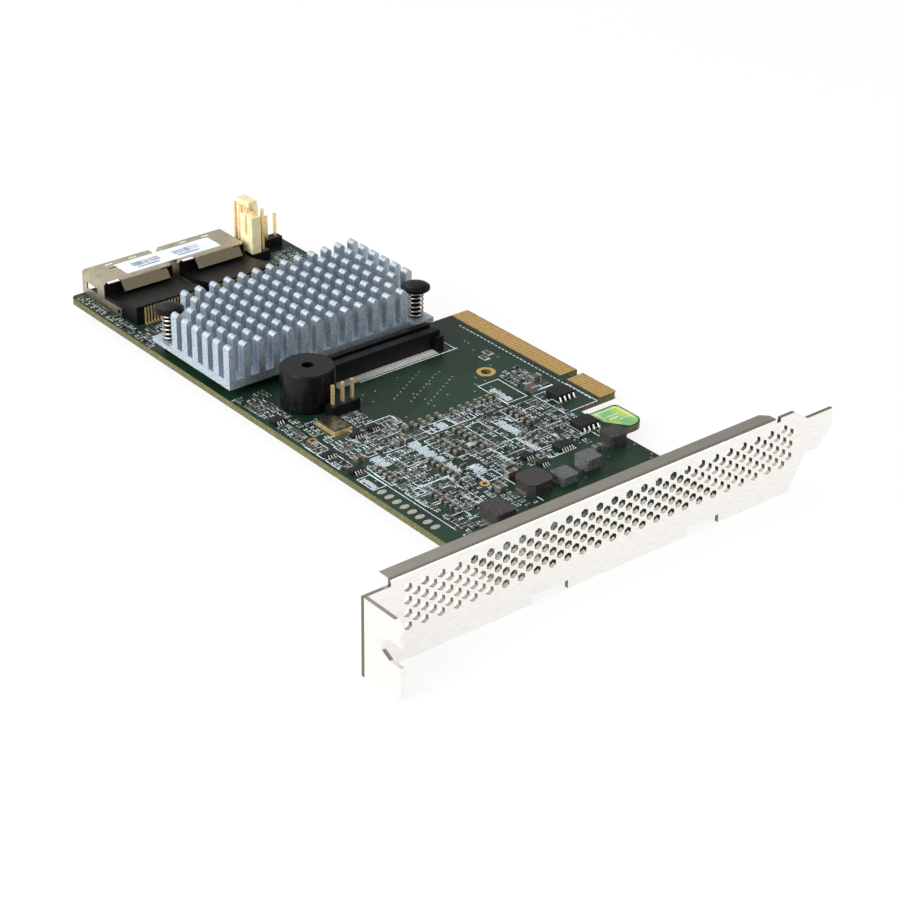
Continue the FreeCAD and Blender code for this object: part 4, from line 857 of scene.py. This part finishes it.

# Painted highlights on the cages: thin bright slabs where two short slots near the rear and a tab at the
# front corner look bright.
cageHighlights = {"starts": (3.7, 24.1), "top": 5.7, "slots": (6.6, 13.0), "slotBack": 160.3,
             "slotSize": (1.9, 0.42), "tabIn": 2.4, "tabBack": 151.6, "tabSize": (3.0, 0.9)}


def makeCageHighlights():
    # painted highlights, not parts: thin bright slabs laid on the cage tops
    shape = newShape()
    top = cageHighlights["top"]
    for start in cageHighlights["starts"]:
        for inset in cageHighlights["slots"]:
            slab(shape, start + inset, cageHighlights["slotBack"], *cageHighlights["slotSize"], top, top + 0.03)
        slab(shape, start + cageHighlights["tabIn"], cageHighlights["tabBack"], *cageHighlights["tabSize"],
             top, top + 0.04)
    makePiece("painted_cage_highlights", shape, "frostedWithHighlight")


makeCageHighlights()

# Printing on the ports' label: generic bars only.
labelPrint = {"bars": 22, "pitch": 0.34, "starts": (3.4, 14.4), "widths": (0.1, 0.16, 0.22), "tall": 2.1,
              "barsUp": 3.3, "line": (6.0, 0.4), "lineIn": 3.4, "lineUp": 1.5, "thick": 0.02}


def makeLabelPrint():
    rng = random.Random(5)
    shape = newShape()
    low, high = islands("port_label")[0]
    bottom, top = high[2], high[2] + labelPrint["thick"]
    for start in labelPrint["starts"]:
        for i in range(labelPrint["bars"]):
            slab(shape, low[0] + start + i * labelPrint["pitch"], low[1] + labelPrint["barsUp"],
                 rng.choice(labelPrint["widths"]), labelPrint["tall"], bottom, top)
        slab(shape, low[0] + start + labelPrint["lineIn"], low[1] + labelPrint["lineUp"],
             *labelPrint["line"], bottom, top)
    makePiece("label_print", shape, "print")


makeLabelPrint()

# Thin mask over bare laminate on the retaining hook, lighter than the board.
hook = {"near": 34.9, "far": 43.6, "inner": 57.2, "outer": 64.5, "round": 2.6, "farCut": 0.9,
        "nearCut": (3.4, 4.6), "thick": 0.03}


def makeHookPatch():
    shape = newShape()
    arc = [(hook["outer"] - hook["round"] * (1 - math.sin(t)),
            hook["near"] + hook["round"] * (1 - math.cos(t)))
           for t in (math.radians(15 * i) for i in range(7))]
    points = [(hook["inner"] + hook["nearCut"][0], hook["near"])] + arc + [
        (hook["outer"], hook["far"] - hook["farCut"]), (hook["outer"] - hook["farCut"], hook["far"]),
        (hook["inner"], hook["far"]), (hook["inner"], hook["near"] + hook["nearCut"][1])]
    prism(shape, [spot(a, b)[:2] for a, b in points], 0.0, hook["thick"])
    makePiece("hook_patch", shape, "lightMask")


makeHookPatch()

# Camera: a long lens from the bracket's side, above the long plain edge; angles in degrees, sizes in mm.
cameraView = {"azimuth": -39.296, "elevation": 29.154, "roll": 0.758, "distance": 511.29, "lens": 94.507,
              "pivot": (-33.9, 14.115, 0.0), "slide": (-6.598, 12.688), "sensor": 36}


def makeCamera():
    a, e, r = (math.radians(cameraView[k]) for k in ("azimuth", "elevation", "roll"))
    back = Vector((math.sin(a) * math.cos(e), -math.cos(a) * math.cos(e), math.sin(e)))
    right = Vector((math.cos(a), math.sin(a), 0))
    up = back.cross(right)
    across = math.cos(r) * right + math.sin(r) * up
    along = math.cos(r) * up - math.sin(r) * right
    place = Vector(cameraView["pivot"]) + back * cameraView["distance"]
    place -= across * cameraView["slide"][0] + along * cameraView["slide"][1]
    data = bpy.data.cameras.new("camera")
    data.lens = cameraView["lens"]
    data.sensor_width = cameraView["sensor"]
    data.clip_start, data.clip_end = 0.01, 10
    camera = bpy.data.objects.new("camera", data)
    turn = Matrix((across, along, back)).transposed().to_4x4()
    camera.matrix_world = Matrix.Translation(place * mm) @ turn
    scene.collection.objects.link(camera)
    scene.camera = camera


makeCamera()

# A pale sweep under a soft sky: floorDrop in mm, floorSize in m; lamps as (place in m, width in m, watts).
studio = {"floorDrop": 0.02, "floorSize": 3.0, "floorColour": "#f2f2f2", "floorGlow": 0.86,
          "skyTowards": (-0.62, 0.55, 0.56), "skyDim": 0.2, "skyBright": 0.85,
          "lamps": [((-0.6, 0.0, 0.3), 0.45, 6.0), ((0.25, -0.65, 0.35), 0.5, 2.4),
                    ((0.0, 0.6, 0.6), 0.5, 1.4)]}


def sweepMaterial():
    # Painted sweep, rolled matt: an even pale ground that keeps the card's shadow.
    material, tree, shader = newMaterial("paleSweep", studio["floorColour"], 0.7)
    glow = addNode(tree, "ShaderNodeEmission", {"Color": linear("#ffffff"), "Strength": 1.0})
    # the camera, metal and clear parts see it near white; it lights nothing itself
    path = addNode(tree, "ShaderNodeLightPath")
    metal = addNode(tree, "ShaderNodeMath", {
        0: path.outputs["Is Camera Ray"], 1: path.outputs["Is Glossy Ray"]}, operation="MAXIMUM")
    seen = addNode(tree, "ShaderNodeMath", {
        0: metal.outputs[0], 1: path.outputs["Is Transmission Ray"]}, operation="MAXIMUM")
    share = addNode(tree, "ShaderNodeMath", {
        0: seen.outputs[0], 1: studio["floorGlow"]}, operation="MULTIPLY")
    mixed = addNode(tree, "ShaderNodeMixShader", {
        0: share.outputs[0], 1: shader.outputs[0], 2: glow.outputs[0]})
    # the sweep has no underside, so the card's solder side can be looked at
    side = addNode(tree, "ShaderNodeNewGeometry")
    clear = addNode(tree, "ShaderNodeBsdfTransparent")
    shown = addNode(tree, "ShaderNodeMixShader", {
        0: side.outputs["Backfacing"], 1: mixed.outputs[0], 2: clear.outputs[0]})
    tree.links.new(shown.outputs[0], tree.nodes["Material Output"].inputs["Surface"])
    return material


def makeStudio():
    size = studio["floorSize"]
    z = cadBox[0][2] - studio["floorDrop"] * mm
    corners = [(-size, -size, z), (size, -size, z), (size, size, z), (-size, size, z)]
    mesh = bpy.data.meshes.new("floor")
    mesh.from_pydata(corners, [], [(0, 1, 2, 3)])
    mesh.materials.append(sweepMaterial())
    floor = bpy.data.objects.new("floor", mesh)
    scene.collection.objects.link(floor)
    world = bpy.data.worlds.new("studio")
    world.use_nodes = True
    scene.world = world
    # the sky brightens towards the rear left, so metal has a light and a dark side
    tree = world.node_tree
    way = addNode(tree, "ShaderNodeTexCoord")
    facing = addNode(tree, "ShaderNodeVectorMath", {
        0: way.outputs["Generated"], 1: studio["skyTowards"]}, operation="DOT_PRODUCT")
    level = addNode(tree, "ShaderNodeMapRange", {
        "Value": facing.outputs["Value"], "From Min": -0.5, "From Max": 1.0,
        "To Min": studio["skyDim"], "To Max": studio["skyBright"]})
    tree.links.new(level.outputs["Result"], tree.nodes["Background"].inputs["Strength"])
    tree.nodes["Background"].inputs["Color"].default_value = (1, 1, 1, 1)
    for i, (place, width, power) in enumerate(studio["lamps"]):
        data = bpy.data.lights.new("lamp%d" % i, "AREA")
        data.energy = power
        data.size = width
        lamp = bpy.data.objects.new("lamp%d" % i, data)
        lamp.location = place
        lamp.rotation_euler = (-Vector(place)).to_track_quat("-Z", "Y").to_euler()  # aimed at the card
        scene.collection.objects.link(lamp)


makeStudio()
print("camera and studio set")
